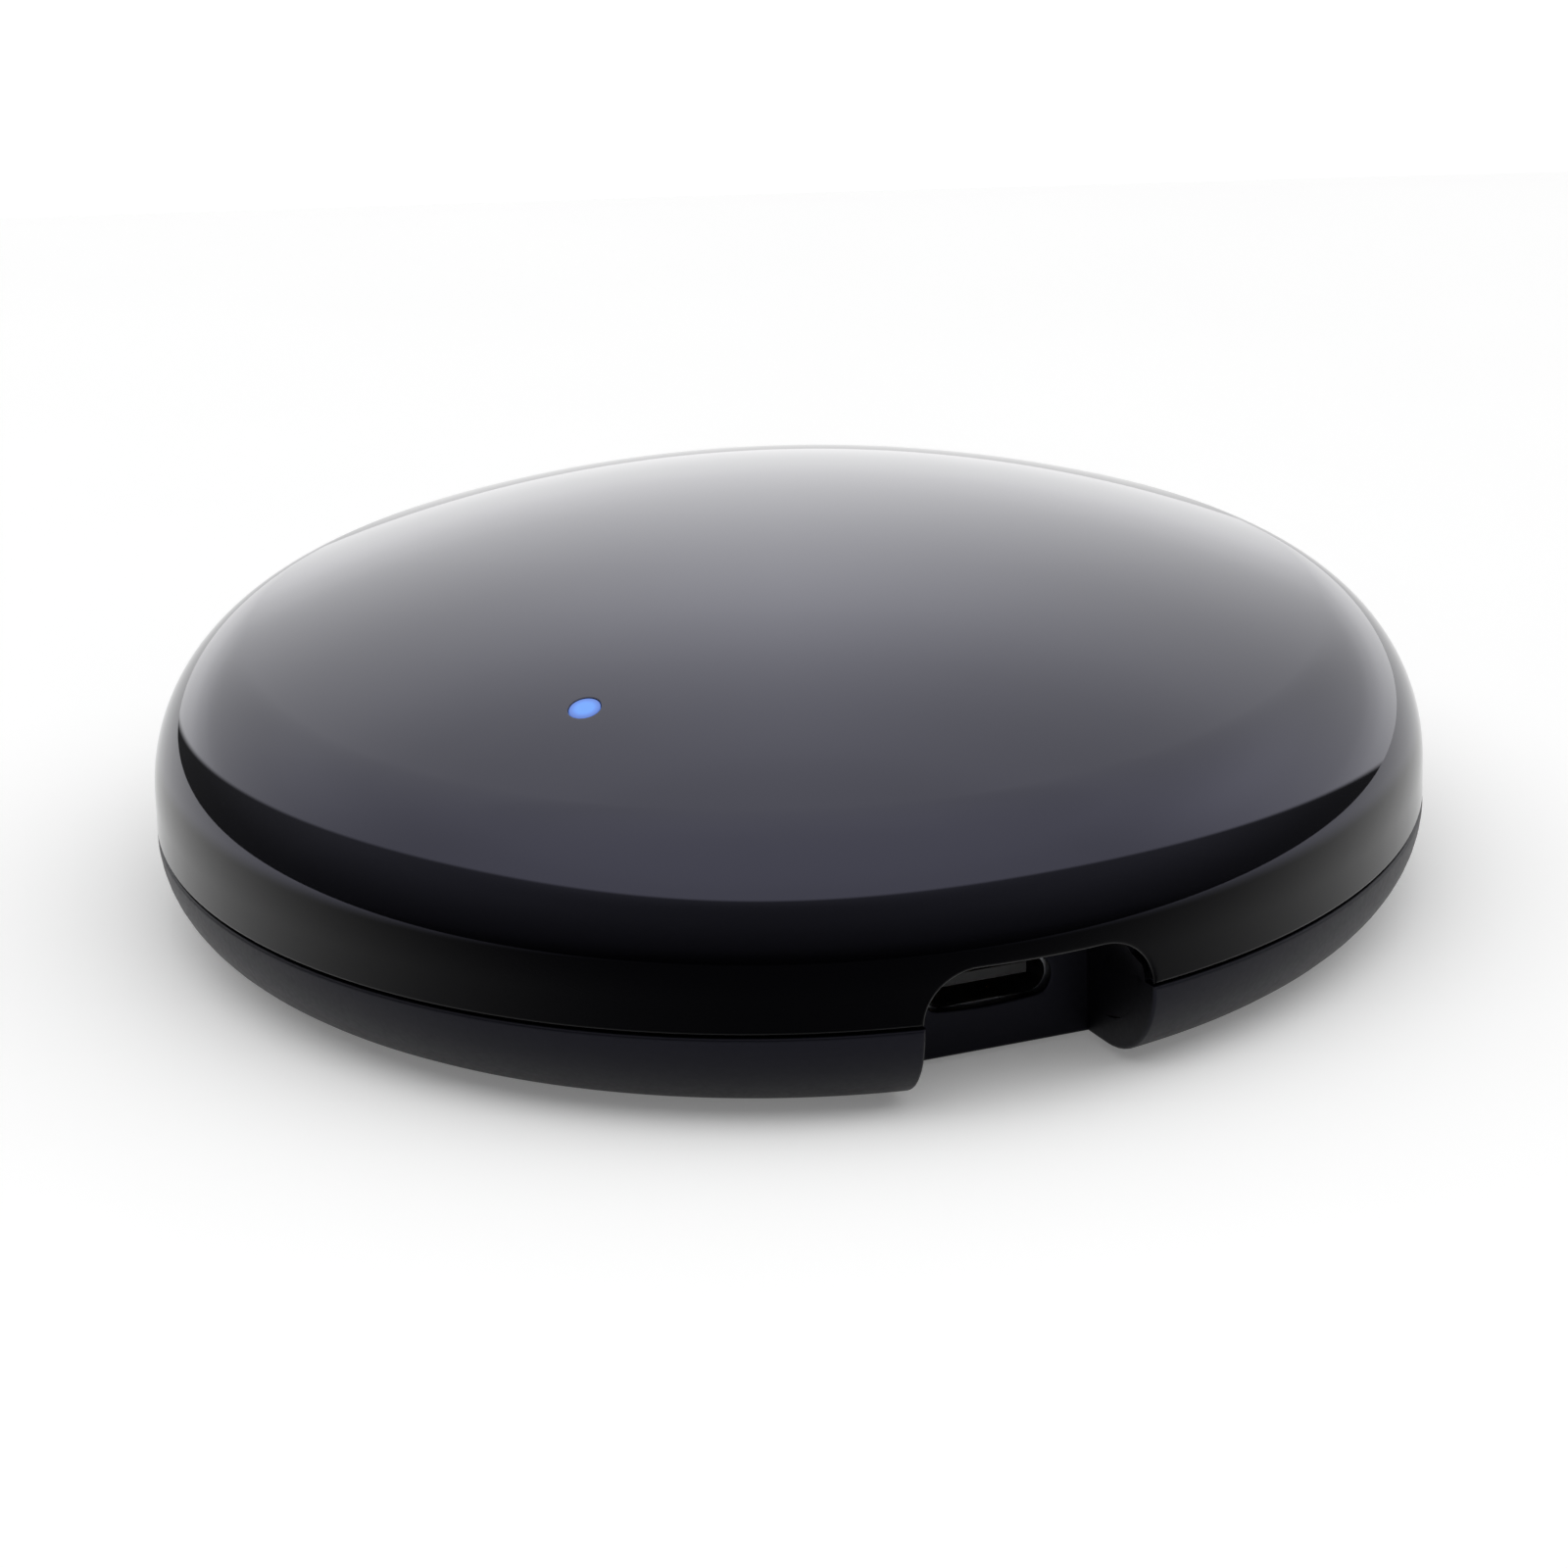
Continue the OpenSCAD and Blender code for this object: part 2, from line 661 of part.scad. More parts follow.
module ir_led(i) {
    color("#3a3350") on_feet() at_angle(led_angle(i), led_base_r) translate([0, 0, led_z]) rotate([90, 0, 0])
        rotate_extrude($fn = small_fn) {
            square([led_flange_d / 2, led_flange_t]);
            square([led_d / 2, led_len - led_d / 2]);
            intersection() {
                translate([0, led_len - led_d / 2]) circle(d = led_d);
                translate([0, led_len - led_d / 2]) square([led_d / 2, led_d / 2]);
            }
        }
}

// Two leads of an emitter, bent down through the board
module ir_leads(i) {
    low = board_z - lead_tail;
    color("silver") on_feet() at_angle(led_angle(i), lead_r) for (side = SIDES)
        translate([side * lead_pitch / 2 - lead_t / 2, 0, 0]) {
            translate([0, -lead_run, led_z - lead_t / 2]) cube([lead_t, lead_run + lead_t / 2, lead_t]);
            translate([0, -lead_t / 2, low]) cube([lead_t, lead_t, led_z + lead_t / 2 - low]);
        }
}

module ir_receiver() {
    low = board_top + receiver_lift;
    face_y = receiver_y + receiver_depth / 2;
    color("#1b1b20") on_feet() {
        translate([-receiver_w / 2, -face_y, low]) cube([receiver_w, receiver_depth, receiver_h]);
        translate([0, -face_y, low + receiver_h / 2]) sphere(r = receiver_lens_r);
    }
}

module receiver_leads() {
    low = board_z - lead_tail;
    color("silver") on_feet() for (side = [-1, 0, 1])
        translate([side * lead_pitch - lead_t / 2, -receiver_y - lead_t / 2, low])
            cube([lead_t, lead_t, board_top + receiver_lift - low]);
}

module wifi_board() {
    color("#16324f") on_feet() translate([0, 0, board_top]) difference() {
        translate([-radio_w / 2, -radio_len / 2, 0]) cube([radio_w, radio_len, radio_t]);
        for (side = SIDES) for (i = [0 : pad_count - 1])
            translate([side * radio_w / 2, pad_pitch * (i + 1) - radio_len / 2, -cut_over])
                cylinder(d = pad_d, h = radio_t + 2 * cut_over, $fn = small_fn);
    }
}

// Rounded rectangle in plan
module round_plate(width, length, corner) {
    square([width - 2 * corner, length], center = true);
    square([width, length - 2 * corner], center = true);
    for (x = SIDES) for (y = SIDES)
        translate([x * (width / 2 - corner), y * (length / 2 - corner)]) circle(r = corner, $fn = small_fn);
}

module wifi_shield() {
    margin = (radio_w - shield_w) / 2;
    color("silver") on_feet()
        translate([0, (margin + shield_len - radio_len) / 2, board_top + radio_t]) {
            linear_extrude(shield_h) difference() {
                round_plate(shield_w, shield_len, shield_corner_r);
                round_plate(shield_w - 2 * shield_t, shield_len - 2 * shield_t, shield_corner_r - shield_t);
            }
            translate([0, 0, shield_h - shield_t]) linear_extrude(shield_t)
                round_plate(shield_w, shield_len, shield_corner_r);
        }
}

module switch_base() {
    low = switch_z + switch_plate;
    color("#26272a") on_feet() translate([0, -reset_y, 0]) difference() {
        translate([-switch_w / 2, -switch_w / 2, low]) cube([switch_w, switch_w, board_z - low]);
        translate([0, 0, low - cut_over])
            cylinder(
                d = plunger_d + 2 * plunger_gap,
                h = plunger_top + reset_travel + plunger_gap - low + cut_over
            );
    }
}

module switch_plunger() {
    color("#3b3c40") on_feet() translate([0, -reset_y, plunger_tip_z])
        cylinder(d = plunger_d, h = plunger_top - plunger_tip_z);
}

module switch_cover() {
    color("silver") on_feet() translate([0, -reset_y, switch_z]) difference() {
        translate([-switch_w / 2, -switch_w / 2, 0]) cube([switch_w, switch_w, switch_plate]);
        translate([0, 0, -cut_over])
            cylinder(d = plunger_d + 2 * plunger_gap, h = switch_plate + 2 * cut_over);
    }
}

module switch_leads() {
    color("silver") on_feet() translate([0, -reset_y, 0]) for (x = SIDES) for (y = SIDES)
        translate([x * (switch_w + switch_lead_w) / 2, y * switch_lead_x_share * switch_w, board_z - switch_plate / 2])
            cube([switch_lead_w, switch_lead_w, switch_plate], center = true);
}

// A chip part on the board, lying across the line from the axis
module chip(height) {
    translate([-chip_w / 2, -chip_len / 2, board_top]) cube([chip_w, chip_len, height]);
}

module status_led() {
    color("white") on_feet() at_angle(-pipe_angle, pipe_r) chip(status_h);
}

module chip_resistors() {
    color("#222222") on_feet() for (i = [1 : LED_COUNT]) at_angle(led_angle(i), resistor_r) chip(resistor_h);
}

module chip_capacitors() {
    color("#a98b62") on_feet() for (x = SIDES) for (y = SIDES)
        translate([x * chip_cap_x, y * chip_cap_y, 0]) chip(chip_cap_h);
}

module regulator() {
    color("#222222") on_feet() translate([regulator_x, 0, board_top + solder_gap])
        translate([-regulator_depth / 2, -regulator_w / 2, 0])
            cube([regulator_depth, regulator_w, regulator_h]);
}

module regulator_leads() {
    reach = regulator_depth / 2;
    pin_w = regulator_w / 9;
    pin_pitch = regulator_w / 3;
    pin_t = regulator_h / 6;
    color("silver") on_feet() translate([regulator_x, 0, board_top]) {
        for (i = [-1, 0, 1]) translate([regulator_depth / 2, i * pin_pitch - pin_w / 2, 0])
            cube([reach, pin_w, pin_t]);
        translate([-regulator_depth / 2 - reach, -pin_pitch * 2 / 3, 0])
            cube([reach, pin_pitch * 4 / 3, pin_t]);
    }
}

module bulk_capacitor() {
    // Rolled groove near the foot of the can
    groove = cap_d / 20;
    color("silver") on_feet() translate([-cap_x, 0, board_top + cap_base_h]) difference() {
        cylinder(d = cap_d, h = cap_h);
        translate([0, 0, cap_d / 6]) rotate_extrude()
            translate([cap_d / 2, 0]) circle(r = groove, $fn = small_fn);
    }
}

module capacitor_base() {
    color("#222222") on_feet() translate([-cap_x, 0, board_top])
        linear_extrude(cap_base_h) difference() {
            square(cap_base_w, center = true);
            for (y = SIDES) translate([cap_base_w / 2, y * cap_base_w / 2]) rotate([0, 0, 45])
                square(cap_base_w / 4, center = true);
        }
}

module driver_places() {
    for (angle = driver_angles) at_angle(angle, post_r)
        translate([0, 0, board_top]) rotate([0, 0, -angle]) children();
}

module driver_transistors() {
    color("#222222") on_feet() driver_places() translate([-driver_len / 2, -driver_w / 2, solder_gap])
        cube([driver_len, driver_w, driver_h]);
}

module driver_leads() {
    pin_w = driver_len / 7;
    pin_t = driver_h / 6;
    reach = driver_w / 2;
    color("silver") on_feet() driver_places() {
        for (x = SIDES) translate([x * driver_len / 3 - pin_w / 2, -driver_w / 2 - reach, 0])
            cube([pin_w, reach, pin_t]);
        translate([-pin_w / 2, driver_w / 2, 0]) cube([pin_w, reach, pin_t]);
    }
}

top_cover();
bottom_cover();
foot_ring();
case_screws();
reset_button();
light_pipe();
main_board();
board_screws();
usb_shell();
usb_tongue();
usb_contacts();
ir_receiver();
receiver_leads();
wifi_board();
wifi_shield();
switch_base();
switch_plunger();
switch_cover();
switch_leads();
status_led();
regulator();
regulator_leads();
bulk_capacitor();
capacitor_base();
driver_transistors();
driver_leads();
chip_resistors();
chip_capacitors();
for (i = [1 : LED_COUNT]) {
    ir_led(i);
    ir_leads(i);
}
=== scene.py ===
"""Looks of a smart infrared blaster: a low domed puck with a plug pocket and a blue status light.

Lengths in the classes are millimetres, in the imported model's own frame: +Z is up, the standing face is at
zero height and the plug pocket faces -Y. Angles round the puck are counted from the pocket towards +X.
"""

import logging
import math
from collections.abc import Callable, Sequence
from dataclasses import dataclass, field
from enum import Enum

import bmesh
import bpy
from mathutils import Matrix, Vector

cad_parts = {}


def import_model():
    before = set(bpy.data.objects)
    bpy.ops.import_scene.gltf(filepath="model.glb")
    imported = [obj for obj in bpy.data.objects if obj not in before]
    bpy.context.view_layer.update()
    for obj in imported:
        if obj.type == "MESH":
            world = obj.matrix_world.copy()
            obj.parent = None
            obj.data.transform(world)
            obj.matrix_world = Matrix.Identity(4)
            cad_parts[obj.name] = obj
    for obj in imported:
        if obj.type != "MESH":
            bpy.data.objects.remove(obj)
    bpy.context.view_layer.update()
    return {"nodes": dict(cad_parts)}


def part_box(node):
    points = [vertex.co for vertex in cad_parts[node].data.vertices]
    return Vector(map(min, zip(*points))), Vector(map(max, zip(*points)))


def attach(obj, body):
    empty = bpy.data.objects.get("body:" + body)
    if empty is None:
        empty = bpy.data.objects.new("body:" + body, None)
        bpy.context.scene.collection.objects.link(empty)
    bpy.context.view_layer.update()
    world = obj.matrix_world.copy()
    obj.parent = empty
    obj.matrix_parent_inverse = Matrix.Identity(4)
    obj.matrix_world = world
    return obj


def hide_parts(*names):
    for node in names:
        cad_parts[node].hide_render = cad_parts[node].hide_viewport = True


LOG = logging.getLogger("infrared_blaster")
MM = 0.001
IMAGE_SIDE = 1600
ON_FACE = 1e-4

# How far rolling draws the grain out, as a share of its width
ROLLED_STRETCH = 0.08
# How irregular the fields between a board's tracks are, and where a track's edge begins and ends
CELL_RANDOMNESS = 0.35
TRACK_EDGE = 0.02
TRACK_FACE = 0.05
# How fine and how harsh the mottle of a moulded face is
MOTTLE_DETAIL = 4.0
MOTTLE_ROUGHNESS = 0.55

Corner = bmesh.types.BMVert
Socket = bpy.types.NodeSocket
Tree = bpy.types.NodeTree
Stops = tuple[tuple[float, float], ...]


class Body(Enum):
    """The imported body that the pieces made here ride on."""

    HOUSING = "housing"


class Grain(Enum):
    """Kinds of surface structure that a finish may have."""

    MOULDED = "moulded"
    SPARKED = "sparked"
    ROLLED = "rolled"
    BOARD = "board"


def linear_colour(code: str) -> tuple[float, float, float, float]:
    """Turns an sRGB hex value into a linear colour.

    Args:
        code: Six hex digits after a hash, such as "#17181b".

    Returns:
        Linear red, green, blue and an alpha of one.
    """
    shares = [int(code[i : i + 2], 16) / 255 for i in (1, 3, 5)]
    red, green, blue = (s / 12.92 if s <= 0.04045 else ((s + 0.055) / 1.055) ** 2.4 for s in shares)
    return red, green, blue, 1.0


def add_node(
    tree: Tree,
    kind: str,
    values: dict[str | int, object] | None = None,
    links: dict[str | int, Socket] | None = None,
    **settings: object,
) -> bpy.types.Node:
    """Adds one node with its settings, socket values and links.

    Args:
        tree: The node tree that gets the node.
        kind: Blender's name for the kind of node.
        values: Socket values by input name or number.
        links: Output sockets by the input name or number that they feed.
        **settings: Properties of the node itself.

    Returns:
        The new node.
    """
    node = tree.nodes.new(kind)
    for name, value in settings.items():
        setattr(node, name, value)
    for socket, value in (values or {}).items():
        node.inputs[socket].default_value = value
    for socket, source in (links or {}).items():
        tree.links.new(source, node.inputs[socket])
    return node


def in_range(tree: Tree, value: Socket, low: float, high: float, smooth: bool = False) -> Socket:
    """Adds a ramp from zero at one value to one at another, held within them.

    Args:
        tree: The node tree that gets the ramp.
        value: Socket with the value.
        low: Value that gives zero.
        high: Value that gives one. It may be the smaller of the two.
        smooth: Whether the ramp eases in and out.

    Returns:
        The socket with the share.
    """
    node = add_node(tree, "ShaderNodeMapRange", {"From Min": low, "From Max": high}, {"Value": value})
    node.interpolation_type = "SMOOTHSTEP" if smooth else "LINEAR"
    return node.outputs["Result"]


def blend_colours(tree: Tree, share: Socket, low: str, high: str) -> Socket:
    """Adds a blend of two colours.

    Args:
        tree: The node tree that gets the blend.
        share: Socket that is zero for the first colour and one for the second.
        low: First colour, as an sRGB hex value.
        high: Second colour, as an sRGB hex value.

    Returns:
        The socket with the blended colour.
    """
    node = add_node(tree, "ShaderNodeMix", {6: linear_colour(low), 7: linear_colour(high)}, {0: share},
                    data_type="RGBA")
    return node.outputs[2]


@dataclass(frozen=True)
class Profile:
    """Outline of the two covers: round edge, upright wall, shoulder and crown, each tangent to the next.

    Heights are counted from the underside of the bottom cover, which the foot ring lifts off the floor.
    """

    radius: float = 42.0
    height: float = 25.2
    lift: float = 0.5
    wall: float = 2.0
    skirt: float = 1.0
    skirt_top: float = 7.75
    edge: float = 6.0
    seam_gap: float = 0.15
    wall_top: float = 8.7
    shoulder: float = 10.4
    pocket_back: float = 33.0
    pocket_back_half: float = 6.8
    pocket_half: float = 7.65
    pocket_top: float = 9.55
    pocket_corner: float = 3.5
    lip_inner: float = 39.85
    lip_outer: float = 40.9
    lip_foot: float = 4.5
    lip_top: float = 7.5
    screw_circle: float = 27.5
    post_circle: float = 19.8
    pipe_angle: float = -48.5
    pipe_reach: float = 27.4
    pipe_boss_drop: float = 2.4
    pipe_flange: float = 1.0

    @property
    def shoulder_middle(self) -> float:
        """Distance from the axis to the middle of the shoulder's arc."""
        return self.radius - self.shoulder

    @property
    def crown(self) -> float:
        """Radius of the crown, from its height and the shoulder that it meets."""
        rise = self.height - self.wall_top
        return (self.shoulder_middle**2 + rise**2 - self.shoulder**2) / (2 * (rise - self.shoulder))

    @property
    def crown_middle(self) -> float:
        """Height of the middle of the crown's arc."""
        return self.height - self.crown

    @property
    def crown_slope(self) -> float:
        """Angle above the horizon at which the shoulder turns into the crown."""
        return math.atan2(self.wall_top - self.crown_middle, self.shoulder_middle)

    def crown_height(self, reach: float, inset: float = 0.0) -> float:
        """Gives the height of the crown, or of the face set in from it, at a distance from the axis."""
        return self.crown_middle + math.sqrt((self.crown - inset)**2 - reach**2)

    def shoulder_reach(self, height: float, inset: float = 0.0) -> float:
        """Gives how far out the shoulder, or the face set in from it, lies at a height."""
        return self.shoulder_middle + math.sqrt((self.shoulder - inset)**2 - (height - self.wall_top)**2)

    @property
    def pipe_boss_foot(self) -> float:
        """Height at which the light pipe's boss ends and the pipe's flange stops against it."""
        return self.crown_height(self.pipe_reach, self.wall) - self.pipe_boss_drop

    @property
    def pipe_tip(self) -> Vector:
        """Middle of the light pipe's tip, counted from the floor."""
        height = self.crown_height(self.pipe_reach) + self.lift
        return round_the_axis(self.pipe_angle, self.pipe_reach, height)

    def on_dome(self, place: Vector, inset: float = 0.0) -> tuple[Vector, Vector]:
        """Finds the nearest point of the top cover's face, or of the same face set in from it.

        Args:
            place: A point close to the face.
            inset: Depth below the outer face.

        Returns:
            The point on the face and its outward direction.
        """
        across = math.hypot(place.x, place.y)
        outward = Vector((place.x, place.y, 0.0)) / across if across else Vector()
        if place.z <= self.wall_top:
            reach = self.radius - inset
            if inset:
                share = (place.z - self.skirt_top) / (self.wall_top - self.skirt_top)
                reach = self.radius - self.skirt - (inset - self.skirt) * min(1.0, max(0.0, share))
            return outward * reach + Vector((0.0, 0.0, place.z)), outward
        middle, base, reach = self.shoulder_middle, self.wall_top, self.shoulder - inset
        slope = math.atan2(place.z - base, across - middle)
        if slope > self.crown_slope:
            middle, base, reach = 0.0, self.crown_middle, self.crown - inset
            slope = math.atan2(place.z - base, across)
        facing = outward * math.cos(slope) + Vector((0.0, 0.0, math.sin(slope)))
        return outward * middle + Vector((0.0, 0.0, base)) + facing * reach, facing

    def on_bowl(self, place: Vector) -> tuple[Vector, Vector]:
        """Finds the nearest point of the bottom cover's edge or flat base, and its outward direction."""
        across = math.hypot(place.x, place.y)
        middle = self.radius - self.edge
        if across < middle:
            return Vector((place.x, place.y, 0.0)), Vector((0.0, 0.0, -1.0))
        outward = Vector((place.x, place.y, 0.0)) / across
        facing = (outward * (across - middle) + Vector((0.0, 0.0, place.z - self.edge))).normalized()
        return outward * middle + Vector((0.0, 0.0, self.edge)) + facing * self.edge, facing

    def pocket_side(self, depth: float) -> float:
        """Half the pocket's width at a distance in front of the axis."""
        share = (depth - self.pocket_back) / (self.radius - self.pocket_back)
        return self.pocket_back_half + (self.pocket_half - self.pocket_back_half) * share

    def pocket_edge(self, reach: float) -> float:
        """Angle from the pocket's middle to its side wall, at a distance from the axis."""
        half = self.pocket_half
        for _ in range(4):
            half = self.pocket_side(math.sqrt(reach**2 - half**2))
        return math.degrees(math.asin(half / reach))


PUCK = Profile()


def round_the_axis(angle: float, reach: float, height: float) -> Vector:
    """Gives the point at an angle in degrees from the pocket, a distance from the axis and a height."""
    turn = math.radians(angle)
    return Vector((reach * math.sin(turn), -reach * math.cos(turn), height))


@dataclass(frozen=True)
class Finish:
    """One surface: what it is made of, how it was made and how light meets it.

    The grain is given in millimetres, and the roughness wanders by its spread along that grain.
    """

    name: str
    colour: str
    fleck: str
    ior: float
    roughness: float
    spread: float
    grain_mm: float
    relief_mm: float
    metallic: float = 0.0
    tint: str = "#ffffff"
    grain: Grain = Grain.MOULDED
    fleck_share: float = 0.5

    def pattern(self, tree: Tree) -> Socket:
        """Adds the grain as a value from zero to one, at its real size.

        Args:
            tree: The material's node tree.

        Returns:
            The socket that carries the grain.
        """
        place = add_node(tree, "ShaderNodeTexCoord").outputs["Object"]
        scale = 1 / (self.grain_mm * MM)
        if self.grain is Grain.ROLLED:
            stretched = add_node(tree, "ShaderNodeMapping", {"Scale": (1, 1, ROLLED_STRETCH)},
                                 {"Vector": place})
            place = stretched.outputs["Vector"]
        if self.grain is Grain.SPARKED:
            cells = add_node(tree, "ShaderNodeTexVoronoi", {"Scale": scale}, {"Vector": place},
                             feature="SMOOTH_F1")
            return cells.outputs["Distance"]
        if self.grain is Grain.BOARD:
            cells = add_node(tree, "ShaderNodeTexVoronoi", {"Scale": scale, "Randomness": CELL_RANDOMNESS},
                             {"Vector": place}, feature="DISTANCE_TO_EDGE", distance="EUCLIDEAN")
            return in_range(tree, cells.outputs["Distance"], TRACK_EDGE, TRACK_FACE)
        noise = add_node(tree, "ShaderNodeTexNoise", {"Scale": scale, "Detail": MOTTLE_DETAIL,
                                                       "Roughness": MOTTLE_ROUGHNESS},
                         {"Vector": place})
        return noise.outputs["Fac"]

    def build(self) -> bpy.types.Material:
        """Makes the material with its colour, roughness and relief from the grain.

        Returns:
            The new material.
        """
        material = bpy.data.materials.new(self.name)
        material.use_nodes = True
        tree = material.node_tree
        tree.nodes.clear()
        grain = self.pattern(tree)
        share = add_node(tree, "ShaderNodeMath", {1: self.fleck_share}, {0: grain}, operation="MULTIPLY")
        colour = blend_colours(tree, share.outputs[0], self.colour, self.fleck)
        low, high = max(0.0, self.roughness - self.spread), self.roughness + self.spread
        rough = add_node(tree, "ShaderNodeMapRange", {"To Min": low, "To Max": high}, {"Value": grain})
        relief = add_node(tree, "ShaderNodeBump", {"Strength": 1.0, "Distance": self.relief_mm * MM},
                          {"Height": grain})
        shader = add_node(tree, "ShaderNodeBsdfPrincipled",
                          {"IOR": self.ior, "Metallic": self.metallic,
                           "Specular Tint": linear_colour(self.tint)},
                          {"Base Color": colour, "Roughness": rough.outputs["Result"],
                           "Normal": relief.outputs["Normal"]})
        add_node(tree, "ShaderNodeOutputMaterial", links={"Surface": shader.outputs["BSDF"]})
        self.adorn(tree, shader)
        return material

    def adorn(self, tree: Tree, shader: bpy.types.Node) -> None:
        """Adds what only some finishes have. A plain finish has nothing more."""


@dataclass(frozen=True)
class WallFinish(Finish):
    """A gloss whose mirrored light is darkened low on the wall: painted shade in its reflection.

    The band and its tint are matched by measure to the photograph. They stand in for dark surroundings
    that the real wall may mirror there, and are not a known property of the plastic.
    """

    reflection_shade_tint: str = "#1c1c20"
    low_mm: float = 11.2
    high_mm: float = 12.3

    def adorn(self, tree: Tree, shader: bpy.types.Node) -> None:
        """Paints shade into the mirrored light low on the wall, by a tint that changes with height."""
        place = add_node(tree, "ShaderNodeTexCoord").outputs["Object"]
        height = add_node(tree, "ShaderNodeSeparateXYZ", links={"Vector": place}).outputs["Z"]
        # Painted shade: below this band the reflection takes the dark tint instead of the cover's own
        share = in_range(tree, height, self.low_mm * MM, self.high_mm * MM, smooth=True)
        tree.links.new(blend_colours(tree, share, self.reflection_shade_tint, self.tint), shader.inputs["Specular Tint"])


@dataclass(frozen=True)
class GlowFinish(Finish):
    """Clear plastic whose tip is lit from below: bright in the middle and deeper towards the edge."""

    glow: str = "#5294f6"
    rim: str = "#3a68c4"
    low_mm: float = 21.0
    fade_mm: float = 0.25
    core_mm: float = 0.45
    edge_mm: float = 1.05

    def adorn(self, tree: Tree, shader: bpy.types.Node) -> None:
        """Lights the tip by the distance from its middle, and leaves the rod below it dark."""
        place = add_node(tree, "ShaderNodeTexCoord").outputs["Object"]
        away = add_node(tree, "ShaderNodeVectorMath", {1: PUCK.pipe_tip * MM}, {0: place},
                        operation="DISTANCE").outputs["Value"]
        share = in_range(tree, away, self.core_mm * MM, self.edge_mm * MM, smooth=True)
        height = add_node(tree, "ShaderNodeSeparateXYZ", links={"Vector": place}).outputs["Z"]
        lit = in_range(tree, height, self.low_mm * MM, (self.low_mm + self.fade_mm) * MM)
        tree.links.new(blend_colours(tree, share, self.glow, self.rim), shader.inputs["Emission Color"])
        tree.links.new(lit, shader.inputs["Emission Strength"])


# Infrared-pass polycarbonate, moulded in a polished tool: a deep black with a mirror-like gloss. The kind
# of plastic is a guess, and the cool tint is matched to the photograph
# Low on the wall a darker tint paints shade into its reflection
COVER_GLOSS = WallFinish("polycarbonate_gloss_black", "#020203", "#030304", 1.585, 0.03, 0.008, 6.0, 0.0004,
                         tint="#dfdfff")
# ABS, moulded in a fine spark-eroded tool: a soft sheen that blurs what it mirrors. The kind of plastic is
# a guess, and roughness and tint are matched to the photograph
BASE_SATIN = Finish("abs_satin_black", "#010102", "#020203", 1.5, 0.46, 0.04, 0.35, 0.004, tint="#8c8ca2",
                    grain=Grain.SPARKED)
# Silicone rubber, moulded: dull and slightly dusty black
RUBBER = Finish("silicone_rubber_black", "#141517", "#232427", 1.41, 0.72, 0.08, 0.5, 0.012)
# ABS button, moulded with a fine matt grain
BUTTON = Finish("abs_matt_button", "#101114", "#1c1d20", 1.53, 0.45, 0.06, 0.25, 0.006, grain=Grain.SPARKED)
# Zinc-plated carbon steel of small screws: bright, with fine turning marks
SCREW_STEEL = Finish("zinc_plated_steel", "#b9bcbe", "#8c8f92", 1.5, 0.32, 0.1, 0.3, 0.002, metallic=1.0,
                     grain=Grain.ROLLED)
# Nickel-plated stainless sheet of the socket: cool and brushed along its length
SHELL_STEEL = Finish("nickel_plated_sheet", "#9a9c9f", "#77797c", 1.5, 0.3, 0.08, 0.4, 0.002, metallic=1.0,
                     grain=Grain.ROLLED)
# Tinned copper of component leads: soft, whitish metal
TINNED_LEAD = Finish("tinned_copper", "#c4c5c3", "#9fa09e", 1.5, 0.35, 0.1, 0.3, 0.002, metallic=1.0)
# Gold flash over nickel on the contacts: warm and fairly bright
GOLD = Finish("gold_flash", "#c9a45a", "#a88442", 1.5, 0.28, 0.06, 0.2, 0.001, metallic=1.0)
# Glass-filled nylon of the socket's tongue: charcoal with a faint fibre mottle
INSULATOR = Finish("glass_filled_nylon", "#121214", "#1c1c1f", 1.53, 0.5, 0.08, 0.2, 0.003)
# FR-4 board under a green solder mask, with buried tracks that lift the mask
BOARD_GREEN = Finish("solder_mask_green", "#2c7a4a", "#14502c", 1.5, 0.35, 0.08, 1.6, 0.02, grain=Grain.BOARD,
                     fleck_share=1.0)
# Small module board under a blue-black solder mask
BOARD_BLUE = Finish("solder_mask_blue", "#1f4470", "#122c4c", 1.5, 0.35, 0.08, 1.1, 0.02, grain=Grain.BOARD,
                    fleck_share=1.0)
# Cast epoxy of an infrared emitter, dyed a deep violet
EPOXY = Finish("cast_epoxy_violet", "#2b2348", "#3a3060", 1.55, 0.08, 0.03, 1.5, 0.001)
# Moulded epoxy of chip packages: dark grey and finely stippled
CHIP_BLACK = Finish("moulding_compound_black", "#1a1b1d", "#28292b", 1.55, 0.55, 0.06, 0.15, 0.003)
# Sintered ceramic of chip capacitors: warm tan and dull
CERAMIC = Finish("sintered_ceramic_tan", "#a98b62", "#8d7350", 1.6, 0.5, 0.08, 0.2, 0.003)
# Clear polycarbonate rod, with the blue status light shining in its tip
PIPE_GLOW = GlowFinish("polycarbonate_clear_lit", "#0c1626", "#101c30", 1.585, 0.06, 0.02, 1.0, 0.0005)
# White reflective plastic of the chip light
CHIP_WHITE = Finish("polyphthalamide_white", "#e6e6e0", "#d6d5cc", 1.5, 0.45, 0.06, 0.2, 0.002)
# Drawn aluminium can of the bulk capacitor
CAN = Finish("drawn_aluminium", "#c7c9ca", "#a9abac", 1.5, 0.28, 0.08, 0.3, 0.002, metallic=1.0,
             grain=Grain.ROLLED)

